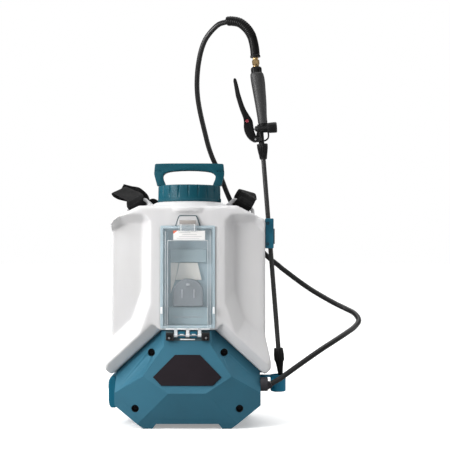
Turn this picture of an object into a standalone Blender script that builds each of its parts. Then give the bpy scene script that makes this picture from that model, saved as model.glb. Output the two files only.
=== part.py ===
"""Battery backpack sprayer, modelled at its real size in metres.

The origin is on the floor under the middle of the tank. +X is the lance side, +Y the wearer's back, +Z up.
"""

import math

import bmesh
import bpy
from mathutils import Matrix, Vector

# General
GAP = 0.0003
WALL = 0.003

# Tank
TANK_HALF = 0.174
TANK_FLARE = 0.186
TANK_BOTTOM = 0.116
TANK_SHOULDER = 0.463
TANK_TOP = 0.494
TANK_FRONT = -0.066
TANK_BACK = 0.110
PANEL_DEPTH = 0.026
COLUMN_HALF = 0.0845
RIDGE_CORNER = (0.0801, 0.2316)
RIDGE_SLOPE = 0.92
TANK_WALL = 0.003
NECK_Y = 0.030
NECK_RADIUS = 0.0620
NECK_BORE = 0.0560
NECK_TOP = 0.532
FLANGE_RADIUS = 0.0755
FLANGE_TOP = 0.5045
SUMP = (0.090, 0.050)
EAR_FRONT = 0.046
EAR_BACK = 0.062

# Lid
LID_RADIUS = 0.0725
LID_TOP = 0.543
HANDLE_TOP = 0.5955
HANDLE_DEPTH = 0.028

# Base
COVER_REAR = -0.0280
BASE_HALF = 0.162
BASE_TOP = 0.1155
BASE_REAR = 0.105
FOOT_INNER = 0.077
FOOT_OUTER = 0.097
ARCH_HEIGHT = 0.011
COVER_APEX = (0.0595, 0.214)
COVER_CORNER = (BASE_HALF, 0.121)
SIDE_FOOT = (BASE_HALF, 0.050)
COVER_PLANE_TOP = -0.062
COVER_PLANE_LEAN = 0.365
RIDGE_HALF = 0.041
RIDGE_Z = 0.081
BADGE_THICKNESS = 0.0016
BADGE_TOP = 0.162
BADGE_WAIST = 0.115
BADGE_BOTTOM = 0.097
COVER_SCREWS = [(0.1655, 0.081, -0.046), (0.0450, 0.115, -0.073)]
BOSS_RADIUS = 0.0115
WELL_RADIUS = 0.0085

# Battery bay and its door
BAY_HALF = 0.0580
BAY_LOW = 0.2220
BAY_HIGH = 0.4450
BAY_REAR = -0.0110
DOOR_HALF = 0.0575
DOOR_LOW = 0.2165
DOOR_HIGH = 0.4460
DOOR_BACK = -0.0690
DOOR_SKIN = 0.0026
PANEL_RISE = 0.0060
HINGE_Y = -0.0735
HINGE_Z = 0.2045
PIN_RADIUS = 0.0015
KNUCKLE_RADIUS = 0.0040
KNUCKLE_HALF = 0.0040
BLOCK_INNER = 0.0308
LATCH_PIVOT = (-0.0745, 0.4365)
LATCH_HALF = 0.0190
LATCH_HIGH = 0.4610

# Controls, outlet and holders on the base and the tank
POD_OUTER = -0.180
DIAL_RADIUS = 0.0132
DIAL_Z = 0.0850
SWITCH_HALF = 0.0110
OUTLET = (-0.052, 0.094)
OUTLET_X = 0.1540
ELBOW_LENGTH = 0.0250
CUP_X = 0.2035
CUP_RADIUS = 0.0175
CUP_LOW = 0.0742
CUP_HIGH = 0.112
CUP_FLOOR = 0.0765
CLIP_LOW = 0.398
CLIP_HIGH = 0.466

# Pump
PUMP_AXIS = (0.040, 0.056)
CAM_OFFSET = 0.0030
TUBE_RADIUS = 0.005

# Wand: positions along it are measured up from its foot
WAND_FOOT = (0.2085, -0.020, 0.118)
WAND_LEAN = math.radians(4.46)
LANCE_RADIUS = 0.0053
LANCE_LOW = 0.022
LANCE_HIGH = 0.5150
NUT_LOW = 0.4845
NUT_HIGH = 0.5200
VALVE_AXIS = 0.5558
GRIP_LOW = 0.5668
GRIP_HIGH = 0.6835
GRIP_NUT_HIGH = 0.6974
BRASS_HIGH = 0.7187
TIP_LOW = -0.0409
LEVER_PIVOT = (-0.0148, 0.5305)
LEVER_PIN_RADIUS = 0.0020
STEM_RADIUS = 0.0031
EAR_LOW = 0.5262
EAR_HIGH = 0.5348
LOCK_AT = (-0.0306, 0.5741)
LOCK_RADIUS = 0.0038

# Hose
HOSE_RADIUS = 0.006
GUARD_RADIUS = 0.0115
HOSE_ROUTE = [
    (0.1864, -0.0520, 0.0952), (0.2055, -0.0520, 0.1057), (0.2202, -0.0515, 0.1161),
    (0.2473, -0.0490, 0.1352), (0.2748, -0.0440, 0.1537), (0.3026, -0.0360, 0.1715),
    (0.3311, -0.0240, 0.1880), (0.3606, -0.0060, 0.2045), (0.3820, 0.0140, 0.2169),
    (0.3952, 0.0400, 0.2303), (0.3887, 0.0660, 0.2448), (0.3716, 0.0850, 0.2543),
    (0.3447, 0.1010, 0.2675), (0.3169, 0.1110, 0.2831), (0.2885, 0.1180, 0.3004),
    (0.2599, 0.1230, 0.3205), (0.2310, 0.1270, 0.3425),
    (0.2140, 0.131, 0.3560), (0.1780, 0.133, 0.3870), (0.1440, 0.134, 0.4310), (0.1150, 0.134, 0.4797),
    (0.0910, 0.134, 0.5260), (0.0685, 0.131, 0.5840), (0.0527, 0.127, 0.6180),
    (0.0425, 0.121, 0.6470), (0.0352, 0.114, 0.6754), (0.0283, 0.105, 0.7033),
    (0.0222, 0.095, 0.7310), (0.0178, 0.085, 0.7585), (0.0163, 0.073, 0.7855),
    (0.0175, 0.061, 0.8120), (0.0212, 0.048, 0.8380), (0.0275, 0.035, 0.8636),
    (0.0375, 0.0225, 0.8860), (0.0520, 0.010, 0.9030), (0.0690, -0.001, 0.9160),
    (0.0868, -0.008, 0.9200),
]
STRAP_ROUTES = {
    "right": [
        (0.1331, 0.0470, 0.5114), (0.1390, 0.0570, 0.5226), (0.1410, 0.0820, 0.5246),
        (0.1360, 0.1120, 0.5360), (0.1270, 0.1460, 0.5260), (0.1200, 0.1640, 0.5080),
    ],
    "left": [
        (-0.1275, 0.0490, 0.5150), (-0.1360, 0.0690, 0.5220), (-0.1530, 0.0930, 0.5305),
        (-0.1720, 0.1190, 0.5395), (-0.1735, 0.1340, 0.5375), (-0.1560, 0.1430, 0.5330),
        (-0.1270, 0.1460, 0.5260), (-0.1200, 0.1640, 0.5080),
    ],
}
STRAP_TURNS = {
    "right": [
        (-0.866, 0, 0.5), (-0.866, 0, 0.5), (-0.866, 0, 0.5),
        (-0.933, 0, 0.25), (-0.973, 0, 0.1), (-1, 0, 0),
    ],
    "left": [
        (0.88, 0.10, 0.44), (0.86, 0.25, 0.42), (0.83, 0.38, 0.41), (0.806, 0.427, 0.411),
        (0.806, 0.427, 0.411), (0.80, 0.15, 0.50), (1, 0, 0), (1, 0, 0),
    ],
}
GUARD_ROUTE = [
    (0.0875, -0.0083, 0.9201), (0.0960, -0.0115, 0.9212), (0.1161, -0.0170, 0.9163),
    (0.1320, -0.0200, 0.9032), (0.1423, -0.0200, 0.8882), (0.1475, -0.0200, 0.8732),
    (0.1510, -0.0200, 0.8550), (0.1525, -0.0200, 0.8355),
]

# Harness
STRAP_HALF = 0.020
STRAP_THICKNESS = 0.0024
PAD_HALF = 0.030
PAD_THICKNESS = 0.012
LOWER_HALF = 0.0125
LOWER_THICKNESS = 0.0020
ANCHOR_X = 0.130
SLOT_AT = (0.1225, 0.4930)
SLOT_TILT = math.radians(30)


def collection(name):
    made = bpy.data.collections.new(name)
    bpy.context.scene.collection.children.link(made)
    return made


def material(name, colour, roughness, metallic=0.0, alpha=1.0):
    made = bpy.data.materials.new(name)
    made.use_nodes = True
    shader = made.node_tree.nodes["Principled BSDF"]
    shader.inputs["Base Color"].default_value = (*colour, 1.0)
    shader.inputs["Roughness"].default_value = roughness
    shader.inputs["Metallic"].default_value = metallic
    shader.inputs["Alpha"].default_value = alpha
    made.diffuse_color = (*colour, alpha)
    return made


def add(name, data, mat):
    """A part when it has a material, and a hidden cutter when it has none."""
    obj = bpy.data.objects.new(name, data)
    if mat is None:
        CUTTERS.objects.link(obj)
        obj.hide_render = True
        obj.display_type = "WIRE"
    else:
        PARTS.objects.link(obj)
        data.materials.append(mat)
    return obj


def from_bmesh(name, bm, mat):
    bmesh.ops.recalc_face_normals(bm, faces=bm.faces)
    mesh = bpy.data.meshes.new(name)
    bm.to_mesh(mesh)
    bm.free()
    return add(name, mesh, mat)


def box(name, low, high, mat):
    low, high = Vector(low), Vector(high)
    bm = bmesh.new()
    bmesh.ops.create_cube(bm, size=1.0, matrix=Matrix.Diagonal((*(high - low), 1.0)))
    obj = from_bmesh(name, bm, mat)
    obj.location = (low + high) / 2
    return obj


def cylinder(name, radius, start, end, mat, end_radius=None, segments=24):
    """A cylinder or cone between two points."""
    start, end = Vector(start), Vector(end)
    along = end - start
    bm = bmesh.new()
    bmesh.ops.create_cone(
        bm, cap_ends=True, segments=segments, radius1=radius,
        radius2=radius if end_radius is None else end_radius, depth=along.length,
    )
    obj = from_bmesh(name, bm, mat)
    obj.location = (start + end) / 2
    obj.rotation_euler = along.to_track_quat("Z", "Y").to_euler()
    shade(obj)
    return obj


def shade(obj):
    obj.data.shade_smooth()
    obj.data.set_sharp_from_angle(angle=math.radians(35))


def turned(name, profile, base, mat, closed=False, segments=32):
    """A profile of (radius, height) points, running down its outer side, turned about +Z at base."""
    mesh = bpy.data.meshes.new(name)
    count = len(profile)
    edges = [(i, i + 1) for i in range(count - 1)]
    if closed:
        edges.append((count - 1, 0))
    mesh.from_pydata([(radius, 0, height) for radius, height in profile], edges, [])
    obj = add(name, mesh, mat)
    obj.location = base
    screw = obj.modifiers.new("Turn", "SCREW")
    screw.steps = segments
    screw.render_steps = segments
    screw.use_merge_vertices = True
    screw.merge_threshold = 0.00005
    screw.use_smooth_shade = True
    return obj


def to_mesh(obj, name, mat):
    """The evaluated shape of a curve as a mesh object in the same place."""
    bpy.context.view_layer.update()
    graph = bpy.context.evaluated_depsgraph_get()
    mesh = bpy.data.meshes.new_from_object(obj.evaluated_get(graph))
    bm = bmesh.new()
    bm.from_mesh(mesh)
    bmesh.ops.remove_doubles(bm, verts=bm.verts, dist=0.00001)
    bmesh.ops.recalc_face_normals(bm, faces=bm.faces)
    bm.to_mesh(mesh)
    bm.free()
    mesh.materials.clear()
    made = add(name, mesh, mat)
    made.matrix_world = obj.matrix_world
    bpy.data.objects.remove(obj)
    return made


def plate(name, outline, near, far, mat):
    """A flat outline of (x, z) points, filled and extruded from y = near to y = far."""
    curve = bpy.data.curves.new(name + "_outline", "CURVE")
    curve.dimensions = "2D"
    curve.fill_mode = "BOTH"
    curve.extrude = (far - near) / 2
    spline = curve.splines.new("POLY")
    spline.points.add(len(outline) - 1)
    for point, (x, z) in zip(spline.points, outline):
        point.co = (x, z, 0, 1)
    spline.use_cyclic_u = True
    obj = bpy.data.objects.new(name + "_outline", curve)
    bpy.context.scene.collection.objects.link(obj)
    obj.location = (0, (near + far) / 2, 0)
    obj.rotation_euler = (math.pi / 2, 0, 0)
    return to_mesh(obj, name, mat)


def mirrored(right_half):
    """A closed outline, symmetric about x = 0, from its right half listed top to bottom."""
    left_half = [(-x, z) for x, z in reversed(right_half) if x > 0]
    return right_half + left_half


def tube(name, points, radius, mat, resolution=2):
    curve = bpy.data.curves.new(name, "CURVE")
    curve.dimensions = "3D"
    curve.bevel_depth = radius
    curve.bevel_resolution = resolution
    curve.use_fill_caps = True
    spline = curve.splines.new("POLY")
    spline.points.add(len(points) - 1)
    for point, place in zip(spline.points, points):
        point.co = (*place, 1)
    return add(name, curve, mat)


def smooth_route(points, spacing):
    """Points about this far apart on a Catmull-Rom curve through the given ones."""
    knots = [Vector(point) for point in points]
    knots = [2 * knots[0] - knots[1]] + knots + [2 * knots[-1] - knots[-2]]
    found = [knots[1]]
    for a, b, c, d in zip(knots, knots[1:], knots[2:], knots[3:]):
        steps = max(1, round((c - b).length / spacing))
        for step in range(1, steps + 1):
            t = step / steps
            bend = (2 * a - 5 * b + 4 * c - d) * t**2 + (3 * b - a - 3 * c + d) * t**3
            found.append(0.5 * (2 * b + (c - a) * t + bend))
    return found


def loft(name, rings, mat):
    """A closed body through rings of as many points each."""
    bm = bmesh.new()
    rows = [[bm.verts.new(point) for point in ring] for ring in rings]
    count = len(rows[0])
    for low, high in zip(rows, rows[1:]):
        for i in range(count):
            bm.faces.new((low[i], low[(i + 1) % count], high[(i + 1) % count], high[i]))
    bm.faces.new(rows[0])
    bm.faces.new(rows[-1])
    return from_bmesh(name, bm, mat)


def ribbon(name, route, across, half_width, thickness, mat):
    """A flat band along route, whose width at each point runs along the matching vector of across."""
    rings = []
    for i, place in enumerate(route):
        along = Vector(route[min(i + 1, len(route) - 1)]) - Vector(route[max(i - 1, 0)])
        side = Vector(across[i]).normalized()
        side = (side - along * side.dot(along) / along.length_squared).normalized()
        up = along.cross(side).normalized() * thickness / 2
        wide = side * half_width
        centre = Vector(place)
        rings.append([centre - wide - up, centre + wide - up, centre + wide + up, centre - wide + up])
    return loft(name, rings, mat)


def faceted(name, planes, mat, inset=0.0):
    """The space inside a list of (point, outward normal) planes, each moved inwards by inset."""
    bm = bmesh.new()
    bmesh.ops.create_cube(bm, size=1.4)
    for point, normal in planes:
        normal = Vector(normal).normalized()
        cut_here = bmesh.ops.bisect_plane(
            bm, geom=bm.verts[:] + bm.edges[:] + bm.faces[:], plane_co=Vector(point) - normal * inset,
            plane_no=normal, clear_outer=True, dist=1e-7,
        )
        edges = [piece for piece in cut_here["geom_cut"] if isinstance(piece, bmesh.types.BMEdge)]
        bmesh.ops.edgeloop_fill(bm, edges=edges)
    return from_bmesh(name, bm, mat)


def through(a, b, c):
    """The plane through three points, its normal away from the inside of the base."""
    a, b, c = Vector(a), Vector(b), Vector(c)
    normal = (b - a).cross(c - a)
    inside = Vector((0, 0.03, 0.09))
    if normal.dot(a - inside) < 0:
        normal.negate()
    return tuple(a), tuple(normal)


def boolean(obj, other, operation="DIFFERENCE"):
    modifier = obj.modifiers.new(operation.title(), "BOOLEAN")
    modifier.operation = operation
    modifier.object = other


def round_edges(obj, width, segments=2, angle=35):
    modifier = obj.modifiers.new("Round", "BEVEL")
    modifier.width = width
    modifier.segments = segments
    modifier.limit_method = "ANGLE"
    modifier.angle_limit = math.radians(angle)
    modifier.use_clamp_overlap = True


def empty(name, location, rotation=(0, 0, 0)):
    obj = bpy.data.objects.new(name, None)
    obj.location = location
    obj.rotation_euler = rotation
    PARTS.objects.link(obj)
    return obj


def hang(obj, parent):
    """Parents an object whose location is already in the parent's own coordinates."""
    obj.parent = parent


def cover_depth(z):
    """Y of the front cover's main plane at height z."""
    return COVER_PLANE_TOP - (COVER_APEX[1] - z) * COVER_PLANE_LEAN


def cover_planes(side):
    """Right (side 1) or left (-1) facets of the front cover, as planes."""
    ridge = (side * RIDGE_HALF, cover_depth(RIDGE_Z), RIDGE_Z)
    low = (side * 0.109, -0.087, 0.012)
    corner = (side * BASE_HALF, -0.076, 0.060)
    band_top = (side * COVER_APEX[0], COVER_REAR - 0.006, COVER_APEX[1])
    band_corner = (side * BASE_HALF, COVER_REAR - 0.006, COVER_CORNER[1])
    band_front = (side * 0.088, cover_depth(0.130), 0.130)
    return [
        through(ridge, low, corner),
        through(band_top, band_corner, band_front),
        ((side * BASE_HALF, 0, 0), (side, 0, 0)),
        through((side * COVER_APEX[0], 0, COVER_APEX[1]), (side * BASE_HALF, 0, COVER_CORNER[1]),
                (side * COVER_APEX[0], -0.1, COVER_APEX[1])),
        through((side * BASE_HALF, 0, SIDE_FOOT[1]), (side * FOOT_OUTER, 0, 0),
                (side * FOOT_OUTER, -0.1, 0)),
    ]


def panel_planes(side):
    """The sunken side panel beside the tank's front column: its floor and its three sloping walls."""
    ridge = (side * RIDGE_CORNER[0], TANK_FRONT, RIDGE_CORNER[1])
    return [
        ((0, TANK_FRONT + PANEL_DEPTH, 0), (0, 1, 0)),
        ((side * COLUMN_HALF, TANK_FRONT, 0), (-side, 0.71, 0)),
        (ridge, (-side * RIDGE_SLOPE, 1.95, -1)),
        ((0, TANK_FRONT, 0.4750), (0, 0.77, 1)),
    ]


def skirt_planes(side):
    """The slope from the diagonal ridge back to the edge of the front cover."""
    ridge = (side * RIDGE_CORNER[0], TANK_FRONT, RIDGE_CORNER[1])
    return [
        (ridge, (side * RIDGE_SLOPE, 2.00, 1)),
        (ridge, (-side * 0.90, 0, 1)),
        ((0, COVER_REAR + 2 * GAP, 0), (0, 1, 0)),
    ]


def build_tank():
    """The blow-moulded tank: a shell with side panels, a battery pocket, a threaded neck and strap ears."""
    outline = mirrored([
        (0.110, TANK_TOP), (0.150, 0.474), (0.172, TANK_SHOULDER), (TANK_HALF, 0.455), (TANK_HALF, 0.200),
        (TANK_FLARE, 0.145), (TANK_FLARE, 0.128), (0.174, TANK_BOTTOM),
    ])
    tank = plate("tank", outline, TANK_FRONT, TANK_BACK, WHITE)
    round_edges(tank, 0.010, segments=2, angle=50)
    for side, word in ((1, "right"), (-1, "left")):
        boolean(tank, faceted("panel_cut_" + word, panel_planes(side), None))
        boolean(tank, faceted("skirt_cut_" + word, skirt_planes(side), None))
    seat = plate("cover_seat_cut", mirrored([
        (COVER_APEX[0] + 0.0010, COVER_APEX[1] + 0.0020), (0.250, 0.0430), (0.250, 0.030),
    ]), TANK_FRONT - 0.1, COVER_REAR + 2 * GAP, None)
    boolean(tank, seat)
    pocket = box("bay_cut", (-BAY_HALF, -0.2, BAY_LOW), (BAY_HALF, BAY_REAR, BAY_HIGH), None)
    for side, word in ((1, "right"), (-1, "left")):
        ear = plate("ear_" + word, [(side * x, z) for x, z in (
            (0.076, 0.486), (0.084, 0.499), (0.104, 0.514), (0.110, 0.515), (0.146, 0.496), (0.152, 0.489),
            (0.153, 0.470), (0.140, 0.465),
        )], EAR_FRONT, EAR_BACK, None)
        slot = box("strap_slot_" + word, (-0.023, -0.05, -0.0045), (0.023, 0.05, 0.0045), None)
        slot.location = (side * SLOT_AT[0], (EAR_FRONT + EAR_BACK) / 2, SLOT_AT[1])
        slot.rotation_euler = (0, side * SLOT_TILT, 0)
        boolean(ear, slot)
        boolean(tank, ear, "UNION")
    neck = cylinder("neck_solid", NECK_RADIUS, (0, NECK_Y, 0.480), (0, NECK_Y, NECK_TOP), None, segments=40)
    boolean(tank, neck, "UNION")
    flange = cylinder("neck_flange", FLANGE_RADIUS, (0, NECK_Y, 0.485), (0, NECK_Y, FLANGE_TOP), None,
                      segments=40)
    boolean(tank, flange, "UNION")
    spigot = cylinder("sump_spigot", 0.0085, (*SUMP, 0.104), (*SUMP, 0.120), None, segments=20)
    boolean(tank, spigot, "UNION")
    boolean(tank, pocket)
    cavity = plate("cavity", mirrored([
        (0.109, TANK_TOP - TANK_WALL), (0.149, 0.470), (0.170, 0.459), (TANK_HALF - TANK_WALL, 0.450),
        (TANK_HALF - TANK_WALL, 0.200), (0.182, 0.146), (0.182, 0.130), (0.173, TANK_BOTTOM + TANK_WALL),
    ]), TANK_FRONT + PANEL_DEPTH + TANK_WALL, TANK_BACK - TANK_WALL, None)
    round_edges(cavity, 0.008, segments=1, angle=50)
    column = box("column_cavity", (TANK_WALL - COLUMN_HALF, TANK_FRONT + TANK_WALL, 0.240),
                 (COLUMN_HALF - TANK_WALL, TANK_FRONT + PANEL_DEPTH + 0.02, 0.470), None)
    boolean(cavity, column, "UNION")
    pocket_wall = box("bay_wall", (-BAY_HALF - TANK_WALL, -0.2, BAY_LOW - TANK_WALL),
                      (BAY_HALF + TANK_WALL, BAY_REAR + TANK_WALL, BAY_HIGH + TANK_WALL), None)
    boolean(cavity, pocket_wall)
    seat_wall = plate("cover_seat_wall", mirrored([
        (COVER_APEX[0] + 0.004, COVER_APEX[1] + 0.005), (0.250, 0.047), (0.250, 0.030),
    ]), TANK_FRONT - 0.1, COVER_REAR + 2 * GAP + TANK_WALL, None)
    boolean(cavity, seat_wall)
    for side, word in ((1, "right"), (-1, "left")):
        boolean(cavity, faceted("skirt_wall_" + word, skirt_planes(side), None, inset=-TANK_WALL))
    boolean(tank, cavity)
    bore = cylinder("neck_bore", NECK_BORE, (0, NECK_Y, 0.470), (0, NECK_Y, 0.560), None, segments=40)
    boolean(tank, bore)
    sump_bore = cylinder("sump_bore", 0.0055, (*SUMP, 0.090), (*SUMP, 0.140), None, segments=16)
    boolean(tank, sump_bore)


def build_tank_fittings():
    top = NECK_TOP - 0.0040
    radius = NECK_BORE - 0.0010
    turned("fill_strainer", [
        (radius, top), (radius - 0.0060, 0.4520), (0.0, 0.4500), (0.0, 0.4525), (radius - 0.0080, 0.4545),
        (radius - 0.0022, top),
    ], (0, NECK_Y, 0), BLACK, closed=True, segments=32)
    turned("suction_filter", [
        (0.0, 0.156), (0.013, 0.154), (0.014, 0.128), (0.016, 0.1210), (0.0, 0.1210),
    ], (*SUMP, 0), BLACK, segments=20)


def build_lid():
    inner_top = LID_TOP - 0.0064
    turned("lid_gasket", [
        (NECK_RADIUS - 0.0003, inner_top - GAP), (NECK_RADIUS - 0.0003, NECK_TOP + GAP),
        (NECK_BORE + 0.0005, NECK_TOP + GAP), (NECK_BORE + 0.0005, inner_top - GAP),
    ], (0, NECK_Y, 0), RUBBER, closed=True, segments=40)
    turned("lid_cap", [
        (0.0, LID_TOP), (LID_RADIUS - 0.004, LID_TOP), (LID_RADIUS, LID_TOP - 0.004),
        (LID_RADIUS, FLANGE_TOP + 0.0005), (NECK_RADIUS + 0.0012, FLANGE_TOP + 0.0005),
        (NECK_RADIUS + 0.0012, inner_top), (0.0, inner_top),
    ], (0, NECK_Y, 0), TEAL, segments=48)
    handle = plate("lid_handle", mirrored([
        (0.0600, HANDLE_TOP), (0.0720, HANDLE_TOP - 0.0045), (0.0800, 0.5800), (0.0820, 0.5700),
        (0.0800, 0.5560), (0.0750, LID_TOP + GAP), (0.0600, LID_TOP + GAP), (0.0612, 0.5620),
        (0.0590, 0.5730), (0.0530, 0.5785),
    ]), NECK_Y - HANDLE_DEPTH / 2, NECK_Y + HANDLE_DEPTH / 2, TEAL)
    round_edges(handle, 0.003, segments=1, angle=50)


def build_base():
    """The base: a rear housing open to the front, and a faceted front cover that closes it."""
    housing_planes = [
        ((0, 0, BASE_TOP), (0, 0, 1)),
        ((BASE_HALF, 0, 0), (1, 0, 0)),
        ((-BASE_HALF, 0, 0), (-1, 0, 0)),
        through((BASE_HALF, 0, SIDE_FOOT[1]), (FOOT_OUTER, 0, 0), (FOOT_OUTER, 0.1, 0)),
        through((-BASE_HALF, 0, SIDE_FOOT[1]), (-FOOT_OUTER, 0, 0), (-FOOT_OUTER, 0.1, 0)),
        ((0, BASE_REAR, 0), (0, 1, 0)),
    ]
    housing = faceted("base_housing", housing_planes + [
        ((0, COVER_REAR + GAP, 0), (0, -1, 0)), ((0, 0, 0), (0, 0, -1)),
    ], TEAL)
    hollow = faceted("housing_hollow", housing_planes + [
        ((0, -0.2, 0), (0, -1, 0)), ((0, 0, ARCH_HEIGHT), (0, 0, -1)),
    ], None, inset=WALL)
    boolean(housing, hollow)
    arch = plate("housing_arch", mirrored([
        (0.069, ARCH_HEIGHT), (FOOT_INNER, -0.00001), (FOOT_INNER, -0.02),
    ]), -0.2, 0.2, None)
    boolean(housing, arch)
    centre_foot = cylinder("centre_foot", 0.014, (0, 0, 0), (0, 0, 0.0125), None, segments=24)
    boolean(housing, centre_foot, "UNION")
    boolean(housing, cylinder("sump_hole", 0.0120, (*SUMP, 0.105), (*SUMP, 0.130), None, segments=20))

    ridge_y = cover_depth(RIDGE_Z)
    planes = [
        ((0, COVER_PLANE_TOP, COVER_APEX[1]), (0, -1, COVER_PLANE_LEAN)),
        through((0, ridge_y, RIDGE_Z), (0.05, ridge_y, RIDGE_Z), (0, -0.087, 0.012)),
        ((0, 0, COVER_APEX[1]), (0, 0, 1)),
    ] + cover_planes(1) + cover_planes(-1)
    ends = [((0, COVER_REAR, 0), (0, 1, 0)), ((0, 0, 0), (0, 0, -1))]
    cover = faceted("front_cover", planes + ends, TEAL)
    hollow = faceted("cover_hollow", planes + [
        ((0, COVER_REAR + 0.1, 0), (0, 1, 0)), ((0, 0, ARCH_HEIGHT), (0, 0, -1)),
    ], None, inset=WALL)
    boolean(cover, hollow)
    arch = plate("cover_arch", mirrored([
        (0.069, ARCH_HEIGHT), (FOOT_INNER, -0.00001), (FOOT_INNER, -0.02),
    ]), -0.2, 0.2, None)
    boolean(cover, arch)
    whole = faceted("cover_whole", planes + ends, None)
    number = 0
    for height, half_span, floor in COVER_SCREWS:
        for x in (half_span, -half_span):
            number += 1
            boss = cylinder(f"screw_boss_{number}", BOSS_RADIUS, (x, -0.2, height),
                            (x, COVER_REAR - 0.001, height), None, segments=20)
            boolean(boss, whole, "INTERSECT")
            boolean(cover, boss, "UNION")
            well = cylinder(f"screw_well_{number}", WELL_RADIUS, (x, -0.2, height), (x, floor, height), None,
                            segments=20)
            boolean(cover, well)
            build_cover_screw(f"cover_screw_{number}", x, floor - GAP, height)
    boolean(cover, cylinder("outlet_hole", 0.0075, (0.150, *OUTLET), (0.170, *OUTLET), None, segments=16))
    build_badge()


def build_badge():
    """The blank six-sided plate on the cover's main plane."""
    centre = (BADGE_TOP + BADGE_BOTTOM) / 2
    lean = math.atan(COVER_PLANE_LEAN)
    stretch = 1 / math.cos(lean)
    badge = plate("badge_plate", mirrored([
        (0.0277, (BADGE_TOP - centre) * stretch), (0.0752, (BADGE_WAIST - centre) * stretch),
        (0.0561, (BADGE_BOTTOM - centre) * stretch),
    ]), -BADGE_THICKNESS, 0, BLACK)
    proud = Vector((0, -1, COVER_PLANE_LEAN)).normalized() * GAP
    badge.matrix_world = (
        Matrix.Translation(Vector((0, cover_depth(centre), centre)) + proud)
        @ Matrix.Rotation(-lean, 4, "X") @ badge.matrix_world
    )


def build_cover_screw(name, x, y, z):
    head = cylinder(name, 0.0045, (x, y - 0.0035, z), (x, y, z), STEEL, segments=16)
    socket = cylinder(name + "_socket", 0.0022, (x, y - 0.006, z), (x, y - 0.0015, z), None, segments=6)
    boolean(head, socket)


def build_battery_bay():
    housing = box("battery_housing", (-BAY_HALF + 0.0005, TANK_FRONT - 0.001, BAY_LOW + 0.0005),
                  (BAY_HALF - 0.0005, BAY_REAR - 0.0005, BAY_HIGH - 0.0005), TEAL)
    flange = plate("bay_flange", mirrored([
        (0.0195, 0.4670), (0.0265, 0.4485), (0.0595, 0.4485), (0.0610, 0.4470), (0.0610, 0.2215),
        (0.0595, 0.2200),
    ]), TANK_FRONT - 0.0026, TANK_FRONT - GAP, None)
    boolean(housing, flange, "UNION")
    inner = box("bay_hollow", (-BAY_HALF + 0.003, -0.2, BAY_LOW + 0.003),
                (BAY_HALF - 0.003, BAY_REAR - 0.003, BAY_HIGH - 0.003), None)
    boolean(housing, inner)
    rear = BAY_REAR - 0.003 - GAP
    plate("contact_plate", [(-0.030, 0.326), (0.030, 0.326), (0.0205, 0.3655), (-0.0205, 0.3655)],
          rear - 0.006, rear, CREAM)
    arc = [
        (0.034 * math.cos(math.radians(a)), 0.300 + 0.030 * math.sin(math.radians(a)))
        for a in range(0, 181, 20)
    ]
    outline = [(0.034, 0.268), *arc, (-0.034, 0.268)]
    block = plate("terminal_block", outline, rear - 0.034, rear - 0.0065, GREY)
    round_edges(block, 0.002, segments=1, angle=50)
    box("cable_cover", (-0.041, rear - 0.012, 0.3665), (0.041, rear, 0.3960), GREY)
    box("adapter_rail", (-0.045, rear - 0.020, BAY_LOW + 0.0035), (0.045, rear, 0.2660), GREY)


def build_door():
    """The see-through battery door on its bottom hinge, with its latch tongue."""
    front = DOOR_BACK - DOOR_SKIN
    door = box("battery_door", (-DOOR_HALF, front, DOOR_LOW), (DOOR_HALF, DOOR_BACK, DOOR_HIGH), CLEAR)
    raised = box("door_raised", (-0.0455, front - PANEL_RISE, 0.2205), (0.0455, DOOR_BACK - 0.001, 0.4160),
                 None)
    boolean(door, raised, "UNION")
    under = box("door_under", (-0.0435, DOOR_BACK - PANEL_RISE, 0.2225), (0.0435, DOOR_BACK + 0.01, 0.4140),
                None)
    boolean(door, under)
    for i, x in enumerate((-0.0265, 0.0, 0.0265)):
        low_x, high_x = x - KNUCKLE_HALF, x + KNUCKLE_HALF
        knuckle = cylinder(f"door_knuckle_{i}", KNUCKLE_RADIUS, (low_x, HINGE_Y, HINGE_Z),
                           (high_x, HINGE_Y, HINGE_Z), None, segments=20)
        arm = box(f"door_arm_{i}", (low_x, front, HINGE_Z + 0.0022),
                  (high_x, DOOR_BACK - 0.0004, DOOR_LOW + 0.002), None)
        boolean(door, knuckle, "UNION")
        boolean(door, arm, "UNION")
    pin_hole = cylinder("door_pin_hole", PIN_RADIUS + GAP, (-0.05, HINGE_Y, HINGE_Z),
                        (0.05, HINGE_Y, HINGE_Z), None, segments=16)
    boolean(door, pin_hole)
    cylinder("hinge_pin", PIN_RADIUS, (0.0003 - BLOCK_INNER, HINGE_Y, HINGE_Z),
             (BLOCK_INNER - 0.0003, HINGE_Y, HINGE_Z), STEEL, segments=14)
    for side, word in ((1, "right"), (-1, "left")):
        low_x, high_x = sorted((side * BLOCK_INNER, side * 0.0480))
        block = box("hinge_block_" + word, (low_x, HINGE_Y - 0.0050, 0.1935),
                    (high_x, cover_depth(0.1935) - GAP, 0.2105), BLACK)
        screw = cylinder("hinge_screw_well_" + word, 0.0028, (side * 0.041, -0.1, 0.1990),
                         (side * 0.041, HINGE_Y - 0.0035, 0.1990), None, segments=12)
        boolean(block, screw)
    build_latch(door)


def build_latch(door):
    y, z = LATCH_PIVOT
    latch = box("door_latch", (-LATCH_HALF, y - 0.0020, z - 0.0015), (LATCH_HALF, y + 0.0020, LATCH_HIGH),
                SMOKE)
    round_edges(latch, 0.0010, segments=1, angle=50)
    for side, word in ((1, "right"), (-1, "left")):
        low_x, high_x = sorted((side * (LATCH_HALF + GAP), side * 0.0215))
        lug = box("latch_lug_" + word, (low_x, y - 0.0020, z - 0.0025),
                  (high_x, DOOR_BACK - 0.0010, z + 0.0025), None)
        boolean(door, lug, "UNION")


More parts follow.
